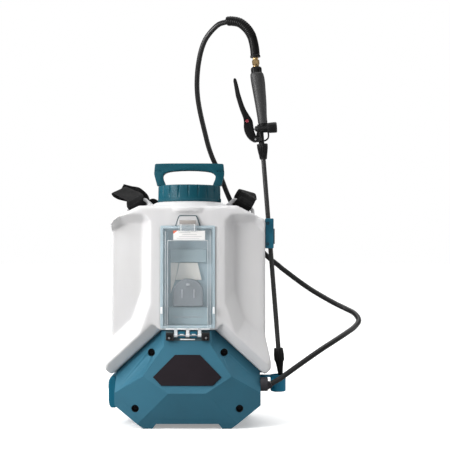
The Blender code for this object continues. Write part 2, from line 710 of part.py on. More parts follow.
def build_controls():
    """The pod on the left side with its pressure dial and rocker switch."""
    inner = -BASE_HALF - GAP
    pod = plate("control_pod", [
        (inner, 0.1100), (-0.1740, 0.1100), (-0.1785, 0.1020), (POD_OUTER, 0.0900), (POD_OUTER, 0.0560),
        (-0.1780, 0.0440), (-0.1740, 0.0385), (inner, 0.0385),
    ], -0.035, 0.035, TEAL)
    round_edges(pod, 0.002, segments=1, angle=60)
    dial_well = cylinder("dial_well", DIAL_RADIUS + 0.0008, (-0.30, 0.0, DIAL_Z), (-0.1715, 0.0, DIAL_Z),
                         None, segments=28)
    boolean(pod, dial_well)
    switch_well = box("switch_well", (-0.30, -SWITCH_HALF - 0.0005, 0.0455),
                      (-0.1690, SWITCH_HALF + 0.0005, 0.0655), None)
    boolean(pod, switch_well)
    dial = cylinder("pressure_dial", DIAL_RADIUS, (-0.1722, 0.0, DIAL_Z), (-0.1830, 0.0, DIAL_Z), BLACK,
                    end_radius=DIAL_RADIUS - 0.0012, segments=24)
    mark = box("dial_mark", (-0.2, -0.0010, DIAL_Z + 0.0050), (-0.1818, 0.0010, DIAL_Z + 0.0150), None)
    boolean(dial, mark)
    plate("power_switch", [
        (-0.1830, 0.0625), (-0.1806, 0.0550), (-0.1806, 0.0475), (-0.1730, 0.0475), (-0.1715, 0.0550),
        (-0.1730, 0.0625),
    ], -SWITCH_HALF, SWITCH_HALF, BLACK)


def build_pump():
    """Motor, eccentric shaft, diaphragm pump head and their tubes inside the base."""
    y, z = PUMP_AXIS
    cylinder("pump_motor", 0.0175, (-0.085, y, z), (-0.0303, y, z), STEEL, segments=24)
    bracket = box("pump_bracket", (-0.0300, y - 0.022, 0.0143), (0.0200, y + 0.022, 0.080), BLACK)
    boolean(bracket, box("bracket_hollow", (-0.0260, y - 0.05, 0.0220), (0.0160, y + 0.05, 0.0760), None))
    bore = cylinder("bracket_bore", 0.0040, (-0.05, y, z), (0.05, y, z), None, segments=16)
    boolean(bracket, bore)
    shaft = cylinder("motor_shaft", 0.0025, (-0.0299, y, z), (0.0190, y, z), STEEL, segments=14)
    cam_z = z - CAM_OFFSET
    cam = cylinder("shaft_cam", 0.0090, (-0.0080, y, cam_z), (0.0020, y, cam_z), None, segments=20)
    boolean(shaft, cam, "UNION")
    head = box("pump_head", (0.0203, y - 0.024, 0.0320), (0.0600, y + 0.024, 0.0800), BLACK)
    round_edges(head, 0.003, segments=1, angle=50)
    cylinder("pressure_sensor", 0.0080, (0.040, y, 0.0803), (0.040, y, 0.0960), STEEL, segments=18)
    box("circuit_board", (-0.1400, 0.010, 0.0600), (-0.0950, 0.080, 0.0616), GREEN)
    suction = smooth_route([
        (*SUMP, 0.1035), (*SUMP, 0.088), (0.0880, 0.047, 0.072), (0.0760, 0.0405, 0.0620),
        (0.0670, 0.040, 0.0620), (0.0604, 0.040, 0.0620),
    ], 0.010)
    tube("suction_tube", suction, TUBE_RADIUS, RUBBER)
    delivery = smooth_route([
        (0.0604, 0.028, 0.0440), (0.0680, 0.028, 0.0440), (0.0860, 0.022, 0.0480), (0.1080, 0.000, 0.0610),
        (0.1240, -0.028, 0.0790), (0.1380, -0.047, 0.0910), (0.1480, *OUTLET), (OUTLET_X, *OUTLET),
    ], 0.010)
    tube("delivery_tube", delivery, TUBE_RADIUS, RUBBER)


def build_outlet():
    y, z = OUTLET
    elbow = turned("outlet_elbow", [
        (0.0, ELBOW_LENGTH), (0.0140, ELBOW_LENGTH), (0.0155, ELBOW_LENGTH - 0.0015), (0.0155, 0.0083),
        (0.0070, 0.0083), (0.0070, GAP), (0.0, GAP),
    ], (OUTLET_X, y, z), BLACK, segments=24)
    elbow.rotation_euler = (0, math.pi / 2, 0)
    end = Vector(HOSE_ROUTE[0])
    along = (Vector(HOSE_ROUTE[1]) - end).normalized()
    start = end - along * 0.0215
    nut = cylinder("hose_nut", 0.0088, start, end - along * GAP, BLACK, end_radius=0.0076, segments=20)
    boolean(nut, box("nut_face", (0.10, -0.1, 0.0), (OUTLET_X + ELBOW_LENGTH + GAP, 0.1, 0.2), None))


def build_holders(wand):
    """The cup the nozzle stands in and the clip that holds the lance."""
    y = WAND_FOOT[1]
    inner = CUP_RADIUS - 0.0025
    cup = turned("lance_cup", [
        (0.0, CUP_FLOOR), (inner, CUP_FLOOR), (inner, CUP_HIGH), (CUP_RADIUS, CUP_HIGH),
        (CUP_RADIUS, CUP_LOW + 0.002), (CUP_RADIUS - 0.002, CUP_LOW), (0.0, CUP_LOW),
    ], (CUP_X, y, 0), BRIGHT_TEAL, segments=32)
    arm = box("cup_arm", (BASE_HALF + GAP, y - 0.009, 0.1065),
              (CUP_X - CUP_RADIUS + 0.0015, y + 0.009, 0.1110), None)
    boolean(cup, arm, "UNION")
    flange = box("cup_flange", (BASE_HALF + GAP, y - 0.009, 0.0920), (BASE_HALF + 0.0035, y + 0.009, 0.1110),
                 None)
    boolean(cup, flange, "UNION")

    clip = box("lance_clip", (TANK_HALF + 0.0004, y - 0.012, CLIP_LOW), (0.1935, y + 0.014, CLIP_HIGH), TEAL)
    round_edges(clip, 0.0015, segments=1, angle=50)
    channel = cylinder("clip_channel", LANCE_RADIUS + 0.0009, (0, 0, 0.20), (0, 0, 0.42), None, segments=24)
    hang(channel, wand)
    mouth = box("clip_mouth", (-0.0045, 0.0, 0.20), (0.0045, 0.030, 0.42), None)
    hang(mouth, wand)
    for cutter in (channel, mouth):
        boolean(clip, cutter)


def build_wand(wand):
    """The nozzle, lance, valve, grip and hose fitting, in line along the wand's axis."""
    bore = LANCE_RADIUS + GAP
    pieces = [
        turned("nozzle_nut", [
            (0.0, LANCE_LOW - GAP), (bore, LANCE_LOW - GAP), (bore, 0.0540), (0.0098, 0.0540),
            (0.0117, 0.0390), (0.0117, 0.0270), (0.0090, 0.0220), (0.0068, 0.0080), (0.0050, -0.0110),
            (0.0045, TIP_LOW), (0.0, TIP_LOW),
        ], (0, 0, 0), BLACK, segments=24),
        turned("lance_tube", [
            (LANCE_RADIUS, LANCE_HIGH), (LANCE_RADIUS, LANCE_LOW), (0.0030, LANCE_LOW), (0.0030, LANCE_HIGH),
        ], (0, 0, 0), BLACK, closed=True, segments=16),
        turned("lance_nut", [
            (0.0125, NUT_HIGH), (0.0122, NUT_HIGH - 0.010), (0.0085, NUT_LOW), (bore, NUT_LOW),
            (bore, NUT_HIGH),
        ], (0, 0, 0), BLACK, closed=True, segments=24),
        build_valve(wand),
        build_grip(),
        turned("grip_nut", [
            (0.0, GRIP_NUT_HIGH), (0.0100, GRIP_NUT_HIGH), (0.0125, GRIP_NUT_HIGH - 0.0030),
            (0.0125, GRIP_HIGH + GAP), (0.0, GRIP_HIGH + GAP),
        ], (0, 0, 0), BLACK, segments=24),
        turned("brass_fitting", [
            (0.0, BRASS_HIGH), (0.0066, BRASS_HIGH), (0.0066, GRIP_NUT_HIGH + GAP),
            (0.0, GRIP_NUT_HIGH + GAP),
        ], (0, 0, 0), BRASS, segments=16),
        *build_lever(wand),
    ]
    for piece in pieces:
        hang(piece, wand)


def across_wand(name, radius, half_width, place, mat=None, segments=16):
    """A cylinder along Y through a place on the wand, given in the wand's own X and Z."""
    x, z = place
    return cylinder(name, radius, (x, -half_width, z), (x, half_width, z), mat, segments=segments)


def build_valve(wand):
    """The shut-off valve's body, with the barrel across it, the lever's ears and the thin loop below."""
    low = (-0.0012, 0, NUT_HIGH + GAP)
    body = cylinder("valve_body", 0.0064, low, (low[0], 0, VALVE_AXIS), BLACK, segments=24)
    socket = cylinder("grip_socket", 0.0095, (0.0048, 0, 0.5490), (0.0048, 0, GRIP_LOW - GAP), None,
                      segments=24)
    barrel = cylinder("valve_barrel", 0.0098, (-0.0078, 0, VALVE_AXIS), (0.0345, 0, VALVE_AXIS), None,
                      end_radius=0.0108, segments=24)
    loop = tube("guard_path", smooth_route([
        (0.0155, 0, 0.5480), (0.0160, 0, 0.5400), (0.0145, 0, 0.5325), (0.0090, 0, 0.5280),
        (0.0030, 0, 0.5268),
    ], 0.004), 0.0019, BLACK)
    loop = to_mesh(loop, "guard_loop", None)
    ears = [
        box(f"lever_ear_{i}", (-0.0185, near, EAR_LOW), (0.0, near + 0.0025, EAR_HIGH), None)
        for i, near in enumerate((-0.0115, 0.0090))
    ]
    web = box("ear_web", (-0.0078, -0.0115, EAR_LOW), (0.0, 0.0115, EAR_HIGH), None)
    for piece in (socket, barrel, loop, *ears, web):
        hang(piece, wand)
        boolean(body, piece, "UNION")
    stem_bore = cylinder("stem_bore", STEM_RADIUS + GAP, (-0.03, 0, VALVE_AXIS), (0.012, 0, VALVE_AXIS),
                         None, segments=16)
    pin_hole = across_wand("lever_pin_hole", LEVER_PIN_RADIUS + GAP, 0.02, LEVER_PIVOT)
    for piece in (stem_bore, pin_hole):
        hang(piece, wand)
        boolean(body, piece)
    return body


def build_lever(wand):
    """The trigger lever on its pin, the valve stem it pushes and its lock button."""
    stem = cylinder("valve_stem", STEM_RADIUS, (-0.0163, 0, VALVE_AXIS), (0.0050, 0, VALVE_AXIS), STEEL,
                    segments=14)
    pin = across_wand("lever_pin", LEVER_PIN_RADIUS, 0.0117, LEVER_PIVOT, STEEL, segments=14)
    lever = plate("trigger_lever", [
        (-0.0530, 0.6700), (-0.0495, 0.6735), (-0.0470, 0.6600), (-0.0430, 0.6350), (-0.0350, 0.6050),
        (-0.0245, 0.5850), (-0.0186, 0.5745), (-0.0173, 0.5600), (-0.0166, 0.5500), (-0.0125, 0.5380),
        (-0.0105, 0.5285), (-0.0130, 0.5255), (-0.0190, 0.5260), (-0.0290, 0.5340), (-0.0365, 0.5470),
        (-0.0390, 0.5620), (-0.0370, 0.5800), (-0.0440, 0.6050), (-0.0505, 0.6350),
    ], -0.0085, 0.0085, BLACK)
    round_edges(lever, 0.0012, segments=1, angle=50)
    lever_hole = across_wand("lever_hole", LEVER_PIN_RADIUS + GAP, 0.02, LEVER_PIVOT)
    lock_hole = across_wand("lock_hole", LOCK_RADIUS + GAP, 0.02, LOCK_AT)
    for cutter in (lever_hole, lock_hole):
        hang(cutter, wand)
        boolean(lever, cutter)
    x, z = LOCK_AT
    lock = cylinder("lock_button", LOCK_RADIUS, (x, -0.0120, z), (x, 0.0090, z), RED, segments=16)
    return stem, pin, lever, lock


def build_grip():
    sections = [
        (GRIP_LOW, 0.0050, 0.0105, 0.0100), (0.5840, 0.0043, 0.0112, 0.0110),
        (0.6118, 0.0042, 0.0135, 0.0125), (0.6396, 0.0029, 0.0147, 0.0138),
        (0.6673, 0.0014, 0.0160, 0.0150), (0.6780, 0.0005, 0.0152, 0.0145), (GRIP_HIGH, 0.0, 0.0135, 0.0130),
    ]
    sides = 20
    rings = [
        [(middle + half_x * math.cos(math.tau * i / sides), half_y * math.sin(math.tau * i / sides), height)
         for i in range(sides)]
        for height, middle, half_x, half_y in sections
    ]
    return loft("grip", rings, BLACK)


def build_hose():
    tube("hose", smooth_route(HOSE_ROUTE, 0.020), HOSE_RADIUS, BLACK, resolution=2)
    tube("hose_guard", smooth_route(GUARD_ROUTE, 0.012), GUARD_RADIUS, BLACK, resolution=4)


def build_harness():
    """Each side: a webbing loop through the tank's ear, a shoulder pad and the lower webbing."""
    middle = (EAR_FRONT + EAR_BACK) / 2
    for side, word in ((1, "right"), (-1, "left")):
        across = Vector((-side * math.cos(SLOT_TILT), 0, math.sin(SLOT_TILT)))
        rise = Vector((side * math.sin(SLOT_TILT), 0, math.cos(SLOT_TILT)))
        slot = Vector((side * SLOT_AT[0], middle, SLOT_AT[1]))
        start = slot + rise * 0.0005
        route = [
            start + Vector((0, 0.0132, 0)), start, start + Vector((0, -0.0112, 0.001)),
            slot + rise * 0.012 + Vector((0, -0.0125, 0)),
        ]
        turns = [across] * len(route) + [Vector(turn) for turn in STRAP_TURNS[word]]
        route += [Vector(point) for point in STRAP_ROUTES[word]]
        ribbon("strap_top_" + word, route, turns, STRAP_HALF, STRAP_THICKNESS, WEBBING)
        straight = Vector((-1, 0, 0)) * side
        pad = smooth_route([
            (side * 0.1195, 0.1695, 0.5060), (side * 0.108, 0.184, 0.460), (side * 0.094, 0.190, 0.400),
            (side * 0.087, 0.188, 0.340), (side * 0.086, 0.178, 0.280), (side * 0.089, 0.162, 0.230),
        ], 0.030)
        ribbon("shoulder_pad_" + word, pad, [straight] * len(pad), PAD_HALF, PAD_THICKNESS, PADDING)
        low = [
            (side * 0.0895, 0.1600, 0.2225), (side * 0.098, 0.1480, 0.1850), (side * 0.112, 0.1330, 0.1400),
            (side * 0.124, 0.1200, 0.1000), (side * ANCHOR_X, 0.1125, 0.0760),
            (side * ANCHOR_X, 0.1086, 0.0560),
        ]
        ribbon("strap_lower_" + word, low, [straight] * len(low), LOWER_HALF, LOWER_THICKNESS, WEBBING)
        x = side * ANCHOR_X
        box("strap_anchor_" + word, (x - 0.019, BASE_REAR + GAP, 0.030),
            (x + 0.019, BASE_REAR + 0.010, 0.052), BLACK)


bpy.context.view_layer.update()
for old in list(bpy.data.objects):
    bpy.data.objects.remove(old)
PARTS = collection("backpack_sprayer")
CUTTERS = collection("cutters")
WHITE = material("white_hdpe", (0.80, 0.80, 0.80), 0.45)
TEAL = material("teal_plastic", (0.035, 0.170, 0.220), 0.45)
BRIGHT_TEAL = material("bright_teal", (0.010, 0.160, 0.260), 0.40)
BLACK = material("black_plastic", (0.018, 0.018, 0.020), 0.50)
GREY = material("grey_plastic", (0.100, 0.105, 0.115), 0.55)
CREAM = material("cream_plastic", (0.60, 0.56, 0.50), 0.50)
SMOKE = material("smoke_plastic", (0.25, 0.23, 0.21), 0.35)
CLEAR = material("clear_plastic", (0.62, 0.68, 0.72), 0.12, alpha=0.35)
RED = material("red_plastic", (0.450, 0.020, 0.040), 0.40)
RUBBER = material("rubber", (0.030, 0.030, 0.032), 0.75)
WEBBING = material("black_webbing", (0.012, 0.012, 0.013), 0.85)
PADDING = material("black_padding", (0.020, 0.020, 0.022), 0.90)
STEEL = material("steel", (0.45, 0.45, 0.46), 0.35, metallic=1.0)
BRASS = material("brass", (0.60, 0.38, 0.14), 0.35, metallic=1.0)
GREEN = material("board_green", (0.020, 0.120, 0.050), 0.50)

wand_axis = empty("wand_axis", WAND_FOOT, (0, -WAND_LEAN, 0))
build_tank()
build_tank_fittings()
build_lid()
build_base()
build_battery_bay()
build_door()
build_controls()
build_pump()
build_outlet()
build_holders(wand_axis)
build_wand(wand_axis)
build_hose()
build_harness()
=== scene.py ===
"""Finished surfaces, soft goods and a studio for the backpack sprayer. Metres, in the model's own frame."""

import math

import bmesh
import bpy
from mathutils import Matrix, Vector


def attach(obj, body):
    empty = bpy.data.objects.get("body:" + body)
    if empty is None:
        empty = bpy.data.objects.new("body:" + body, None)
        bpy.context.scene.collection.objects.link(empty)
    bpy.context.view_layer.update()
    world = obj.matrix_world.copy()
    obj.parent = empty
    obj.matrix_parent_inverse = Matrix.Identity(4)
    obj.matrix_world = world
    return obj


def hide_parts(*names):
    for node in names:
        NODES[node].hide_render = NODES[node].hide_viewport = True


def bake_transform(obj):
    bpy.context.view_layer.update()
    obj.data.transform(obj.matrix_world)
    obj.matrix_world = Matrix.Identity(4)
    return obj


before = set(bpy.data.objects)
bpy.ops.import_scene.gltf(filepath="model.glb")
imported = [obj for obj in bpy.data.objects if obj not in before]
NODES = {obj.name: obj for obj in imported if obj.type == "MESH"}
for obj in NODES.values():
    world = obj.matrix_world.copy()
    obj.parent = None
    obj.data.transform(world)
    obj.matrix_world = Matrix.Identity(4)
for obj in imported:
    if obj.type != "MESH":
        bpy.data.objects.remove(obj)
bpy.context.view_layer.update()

# The camera stands 2.3 m in front of the tank at lid-to-base mid height, tilted up a little.
CAMERA_PLACE = (0.083, -2.300, 0.390)
CAMERA_PITCH = 91.54
CAMERA_LENS = 80

HOSE_RADIUS = 0.006
# The hose's centreline, point for point as in the solid model.
HOSE_ROUTE = [
    (0.1864, -0.0520, 0.0952), (0.2055, -0.0520, 0.1057), (0.2202, -0.0515, 0.1161),
    (0.2473, -0.0490, 0.1352), (0.2748, -0.0440, 0.1537), (0.3026, -0.0360, 0.1715),
    (0.3311, -0.0240, 0.1880), (0.3606, -0.0060, 0.2045), (0.3820, 0.0140, 0.2169),
    (0.3952, 0.0400, 0.2303), (0.3887, 0.0660, 0.2448), (0.3716, 0.0850, 0.2543),
    (0.3447, 0.1010, 0.2675), (0.3169, 0.1110, 0.2831), (0.2885, 0.1180, 0.3004),
    (0.2599, 0.1230, 0.3205), (0.2310, 0.1270, 0.3425),
    (0.2140, 0.131, 0.3560), (0.1780, 0.133, 0.3870), (0.1440, 0.134, 0.4310), (0.1150, 0.134, 0.4797),
    (0.0910, 0.134, 0.5260), (0.0685, 0.131, 0.5840), (0.0527, 0.127, 0.6180),
    (0.0425, 0.121, 0.6470), (0.0352, 0.114, 0.6754), (0.0283, 0.105, 0.7033),
    (0.0222, 0.095, 0.7310), (0.0178, 0.085, 0.7585), (0.0163, 0.073, 0.7855),
    (0.0175, 0.061, 0.8120), (0.0212, 0.048, 0.8380), (0.0275, 0.035, 0.8636),
    (0.0375, 0.0225, 0.8860), (0.0520, 0.010, 0.9030), (0.0690, -0.001, 0.9160),
    (0.0868, -0.008, 0.9200),
]
STRAP_ROUTES = {
    "right": [
        (0.1331, 0.0470, 0.5114), (0.1390, 0.0570, 0.5226), (0.1410, 0.0820, 0.5246),
        (0.1360, 0.1120, 0.5360), (0.1270, 0.1460, 0.5260), (0.1200, 0.1640, 0.5080),
    ],
    "left": [
        (-0.1275, 0.0490, 0.5150), (-0.1360, 0.0690, 0.5220), (-0.1530, 0.0930, 0.5305),
        (-0.1720, 0.1190, 0.5395), (-0.1735, 0.1340, 0.5375), (-0.1560, 0.1430, 0.5330),
        (-0.1270, 0.1460, 0.5260), (-0.1200, 0.1640, 0.5080),
    ],
}
STRAP_TURNS = {
    "right": [
        (-0.866, 0, 0.5), (-0.866, 0, 0.5), (-0.866, 0, 0.5),
        (-0.933, 0, 0.25), (-0.973, 0, 0.1), (-1, 0, 0),
    ],
    "left": [
        (0.88, 0.10, 0.44), (0.86, 0.25, 0.42), (0.83, 0.38, 0.41), (0.806, 0.427, 0.411),
        (0.806, 0.427, 0.411), (0.80, 0.15, 0.50), (1, 0, 0), (1, 0, 0),
    ],
}
GUARD_ROUTE = [
    (0.0875, -0.0083, 0.9201), (0.0960, -0.0115, 0.9212), (0.1161, -0.0170, 0.9163),
    (0.1320, -0.0200, 0.9032), (0.1423, -0.0200, 0.8882), (0.1475, -0.0200, 0.8732),
    (0.1510, -0.0200, 0.8550), (0.1525, -0.0200, 0.8355),
]
WAND_FOOT = Vector((0.2085, -0.020, 0.118))
WAND_LEAN = 4.46
WAND = Matrix.Translation(WAND_FOOT) @ Matrix.Rotation(-math.radians(WAND_LEAN), 4, "Y")
VALVE_HEIGHT = 0.5558
RIGHT = Vector((1, 0, 0))
SIDES = ((1, "right"), (-1, "left"))


# ---------------------------------------------------------------- materials

def node(tree, kind, inputs=None, **settings):
    made = tree.nodes.new("ShaderNode" + kind)
    for key, value in settings.items():
        setattr(made, key, value)
    for key, value in (inputs or {}).items():
        if isinstance(value, bpy.types.NodeSocket):
            tree.links.new(value, made.inputs[key])
        else:
            made.inputs[key].default_value = value
    return made


def calc(tree, operation, a, b=0.0, clamp=False):
    return node(tree, "Math", {0: a, 1: b}, operation=operation, use_clamp=clamp).outputs[0]


def spread(tree, value, low, high, to_low, to_high):
    """The value mapped from one range to another, and kept inside it."""
    made = node(tree, "MapRange", {
        "Value": value, "From Min": low, "From Max": high, "To Min": to_low, "To Max": to_high,
    })
    return made.outputs["Result"]


def blend_colours(tree, amount, one, two):
    made = node(tree, "Mix", data_type="RGBA")
    for socket, value in ((0, amount), (6, one), (7, two)):
        if isinstance(value, bpy.types.NodeSocket):
            tree.links.new(value, made.inputs[socket])
        elif socket:
            made.inputs[socket].default_value = (*value, 1.0)
        else:
            made.inputs[socket].default_value = value
    return made.outputs[2]


def noise(tree, scale, detail=3.0, where=None, roughness=0.5):
    where = where or node(tree, "TexCoord").outputs["Object"]
    made = node(tree, "TexNoise", {
        "Vector": where, "Scale": scale, "Detail": detail, "Roughness": roughness,
    })
    return made.outputs["Fac"]


def material(name):
    made = bpy.data.materials.new(name)
    made.use_nodes = True
    return made, made.node_tree, made.node_tree.nodes["Principled BSDF"]


def finish_material(tree, shader, base, relief=None, **values):
    """Wires the colour and a (strength, distance, height) relief, and sets the shader's other inputs."""
    tree.links.new(base, shader.inputs["Base Color"])
    if relief:
        strength, distance, height = relief
        bump = node(tree, "Bump", {"Strength": strength, "Distance": distance, "Height": height})
        tree.links.new(bump.outputs["Normal"], shader.inputs["Normal"])
    for key, value in values.items():
        socket = shader.inputs[key.replace("_", " ")]
        if isinstance(value, bpy.types.NodeSocket):
            tree.links.new(value, socket)
        else:
            socket.default_value = value


def mixed(tree, one, share, two, other_share):
    return calc(tree, "ADD", calc(tree, "MULTIPLY", one, share), calc(tree, "MULTIPLY", two, other_share))


def stretched(tree, scale):
    """Object coordinates, scaled by a different amount along each axis."""
    where = node(tree, "TexCoord").outputs["Object"]
    return node(tree, "Mapping", {"Vector": where, "Scale": scale}).outputs["Vector"]


def tint(colour, factor):
    return tuple(min(1.0, channel * factor) for channel in colour)


def plastic(name, colour, rough=0.45, grain=1500.0, bump=0.12, mottle=0.10, wear=0.35, specular=None):
    """Moulded plastic: spark-textured skin, slow colour drift, cleaner edges and faint handling marks."""
    made, tree, shader = material(name)
    drift = spread(tree, noise(tree, 14.0, 4.0), 0.35, 0.65, 0.0, 1.0)
    base = blend_colours(tree, drift, tint(colour, 1.0 - mottle), tint(colour, 1.0 + mottle))
    point = node(tree, "NewGeometry").outputs["Pointiness"]
    edge = spread(tree, point, 0.52, 0.60, 0.0, wear)
    lighter = tuple(channel * 0.75 + 0.25 * (0.35 + 0.65 * channel) for channel in colour)
    base = blend_colours(tree, edge, base, lighter)
    marks = spread(tree, noise(tree, 65.0, 6.0, roughness=0.7), 0.30, 0.70, rough - 0.06, rough + 0.08)
    height = mixed(tree, noise(tree, grain, 2.0), 0.7, noise(tree, 120.0, 2.0), 0.3)
    finish_material(tree, shader, base, (bump, 0.0004, height), Roughness=marks)
    if specular is not None:
        shader.inputs["Specular IOR Level"].default_value = specular
    return made


def metal(name, colour, rough=0.32, grain=(40.0, 40.0, 900.0)):
    """Turned or plated metal with fine tool lines and slight tarnish."""
    made, tree, shader = material(name)
    tool = noise(tree, 1.0, 3.0, stretched(tree, grain))
    tarnish = spread(tree, noise(tree, 160.0, 5.0), 0.40, 0.65, 0.0, 1.0)
    base = blend_colours(tree, tarnish, colour, tint(colour, 0.72))
    finish_material(tree, shader, base, (0.10, 0.0002, tool), Metallic=1.0,
                    Roughness=spread(tree, tool, 0.3, 0.7, rough - 0.08, rough + 0.12))
    return made


def woven(name, colour, pitch=0.0013, rough=0.78, bump=0.75, sheen=0.25):
    """Herringbone webbing: UV runs in metres along and across the strap."""
    made, tree, shader = material(name)
    where = node(tree, "UVMap").outputs["UV"]
    parts = node(tree, "SeparateXYZ", {0: where})
    along = calc(tree, "MULTIPLY", parts.outputs[0], math.tau / pitch)
    across = calc(tree, "MULTIPLY", parts.outputs[1], math.tau / (pitch * 1.25))
    lean = calc(tree, "MULTIPLY", calc(tree, "PINGPONG", parts.outputs[1], pitch * 3.2), math.tau / pitch)
    ribs = calc(tree, "SINE", calc(tree, "ADD", along, lean))
    yarns = calc(tree, "SINE", across)
    cloth = calc(tree, "MULTIPLY_ADD", ribs, 0.5)
    cloth.node.inputs[2].default_value = 0.5
    height = mixed(tree, cloth, 0.7, yarns, 0.15)
    fuzz = noise(tree, 3500.0, 2.0)
    height = calc(tree, "ADD", height, calc(tree, "MULTIPLY", fuzz, 0.25))
    shade = spread(tree, height, 0.0, 1.0, 0.0, 1.0)
    base = blend_colours(tree, shade, tint(colour, 0.45), tint(colour, 1.7))
    dust = spread(tree, noise(tree, 30.0, 5.0), 0.5, 0.8, 0.0, 0.12)
    base = blend_colours(tree, dust, base, (0.09, 0.09, 0.09))
    finish_material(tree, shader, base, (bump, 0.0005, height), Roughness=rough, Specular_IOR_Level=0.15,
                    Sheen_Weight=sheen, Sheen_Roughness=0.45)
    return made


def mesh_fabric(name, colour, cell=0.0032):
    """Spacer mesh for the pads: small open cells over foam, without UVs."""
    made, tree, shader = material(name)
    where = node(tree, "TexCoord").outputs["Object"]
    cells = node(tree, "TexVoronoi", {"Vector": where, "Scale": 1.0 / cell, "Randomness": 0.15})
    hole = spread(tree, cells.outputs["Distance"], 0.12, 0.34, 0.0, 1.0)
    thread = noise(tree, 2600.0, 2.0)
    height = mixed(tree, hole, 0.8, thread, 0.2)
    base = blend_colours(tree, hole, tint(colour, 0.25), tint(colour, 1.5))
    drift = spread(tree, noise(tree, 22.0, 4.0), 0.4, 0.75, 0.0, 0.25)
    base = blend_colours(tree, drift, base, tint(colour, 2.6))
    finish_material(tree, shader, base, (0.8, 0.0007, height), Roughness=0.85, Sheen_Weight=0.35)
    return made


def tank_plastic():
    """Natural polyethylene: milky, slightly translucent, with flow streaks from the mould."""
    made, tree, shader = material("tank_milk_white")
    flow = spread(tree, noise(tree, 1.0, 4.0, stretched(tree, (30.0, 30.0, 5.0))), 0.35, 0.70, 0.0, 1.0)
    base = blend_colours(tree, flow, (0.610, 0.606, 0.616), (0.655, 0.652, 0.660))
    cloud = spread(tree, noise(tree, 9.0, 3.0), 0.35, 0.7, 0.0, 0.5)
    base = blend_colours(tree, cloud, base, (0.605, 0.603, 0.595))
    height = mixed(tree, noise(tree, 900.0, 2.0), 0.25, noise(tree, 26.0, 2.0), 0.75)
    finish_material(tree, shader, base, (0.22, 0.0009, height), Specular_IOR_Level=0.42,
                    Roughness=spread(tree, noise(tree, 45.0, 5.0), 0.3, 0.7, 0.36, 0.50),
                    Subsurface_Weight=0.20, Subsurface_Radius=(1.0, 0.95, 0.90), Subsurface_Scale=0.006)
    return made


def clear_plastic(name, colour, alpha, rough=0.07):
    """Polished see-through plastic with a slight smoke tint, hairline scratches and dust."""
    made, tree, shader = material(name)
    scratch = spread(tree, noise(tree, 1.0, 2.0, stretched(tree, (700.0, 60.0, 25.0))), 0.66, 0.80, 0.0, 1.0)
    haze = spread(tree, noise(tree, 18.0, 4.0), 0.35, 0.75, 0.0, 1.0)
    base = blend_colours(tree, haze, colour, tint(colour, 1.25))
    veil = mixed(tree, haze, 0.06, scratch, 0.05)
    finish_material(tree, shader, base, Alpha=calc(tree, "ADD", veil, alpha, clamp=True), IOR=1.50,
                    Roughness=calc(tree, "ADD", calc(tree, "MULTIPLY", scratch, 0.15), rough),
                    Coat_Weight=0.5, Coat_Roughness=0.05)
    return made


def hose_rubber():
    """Extruded PVC hose: fine lengthwise lines, faint scuffs, satin sheen."""
    made, tree, shader = material("hose_black")
    where = node(tree, "UVMap").outputs["UV"]
    parts = node(tree, "SeparateXYZ", {0: where})
    ridges = calc(tree, "SINE", calc(tree, "MULTIPLY", parts.outputs[1], math.tau / 0.0016))
    scuff = spread(tree, noise(tree, 55.0, 6.0, roughness=0.7), 0.50, 0.75, 0.0, 1.0)
    base = blend_colours(tree, scuff, (0.0030, 0.0030, 0.0032), (0.010, 0.010, 0.0105))
    height = calc(tree, "ADD", calc(tree, "MULTIPLY", ridges, 0.3), noise(tree, 1400.0, 2.0))
    finish_material(tree, shader, base, (0.14, 0.0003, height), Specular_IOR_Level=0.42,
                    Roughness=spread(tree, scuff, 0.0, 1.0, 0.34, 0.52))
    return made


def board_green():
    """Solder mask with traces and pads on a small grid."""
    made, tree, shader = material("circuit_board_green")
    where = node(tree, "TexCoord").outputs["Object"]
    brick = node(tree, "TexBrick", {
        "Vector": where, "Scale": 160.0, "Mortar Size": 0.06, "Color1": (0.012, 0.10, 0.035, 1),
        "Color2": (0.016, 0.12, 0.045, 1), "Mortar": (0.05, 0.22, 0.08, 1),
    })
    finish_material(tree, shader, brick.outputs["Color"], Roughness=0.35)
    return made


TEAL_SHINE = 0.17
TANK = tank_plastic()
TEAL = plastic("teal_moulded", (0.004, 0.105, 0.168), 0.44, grain=1700.0, bump=0.16, mottle=0.07,
               specular=TEAL_SHINE)
LID_TEAL = plastic("lid_teal", (0.003, 0.066, 0.094), 0.40, grain=1500.0, bump=0.18, mottle=0.08,
                   specular=TEAL_SHINE)
CUP_TEAL = plastic("cup_teal", (0.003, 0.150, 0.260), 0.38, grain=1500.0, bump=0.10, specular=TEAL_SHINE)
DARK_SHINE = 0.13
BLACK = plastic("black_moulded", (0.0060, 0.0060, 0.0064), 0.42, grain=1300.0, bump=0.22, mottle=0.18,
                specular=DARK_SHINE)
GRIP_BLACK = plastic("grip_black", (0.036, 0.036, 0.037), 0.48, grain=950.0, bump=0.40, mottle=0.14,
                     specular=0.40)
RIB_BLACK = plastic("ribbed_black", (0.0055, 0.0055, 0.0058), 0.36, grain=1600.0, bump=0.15, mottle=0.2,
                    specular=DARK_SHINE)
BADGE_BLACK = plastic("badge_black", (0.0120, 0.0085, 0.0115), 0.34, grain=2200.0, bump=0.06, mottle=0.12,
                      wear=0.0, specular=DARK_SHINE)
GREY = plastic("grey_moulded", (0.170, 0.180, 0.195), 0.50, grain=1200.0, bump=0.2)
CREAM = plastic("cream_moulded", (0.95, 0.88, 0.80), 0.48, grain=1200.0, bump=0.14, mottle=0.05)
WHITE_CLIP = plastic("white_clip", (0.86, 0.88, 0.89), 0.35, grain=1500.0, bump=0.06, mottle=0.04)
LATCH = plastic("latch_smoke", (0.32, 0.29, 0.27), 0.30, grain=1500.0, bump=0.06, mottle=0.06)
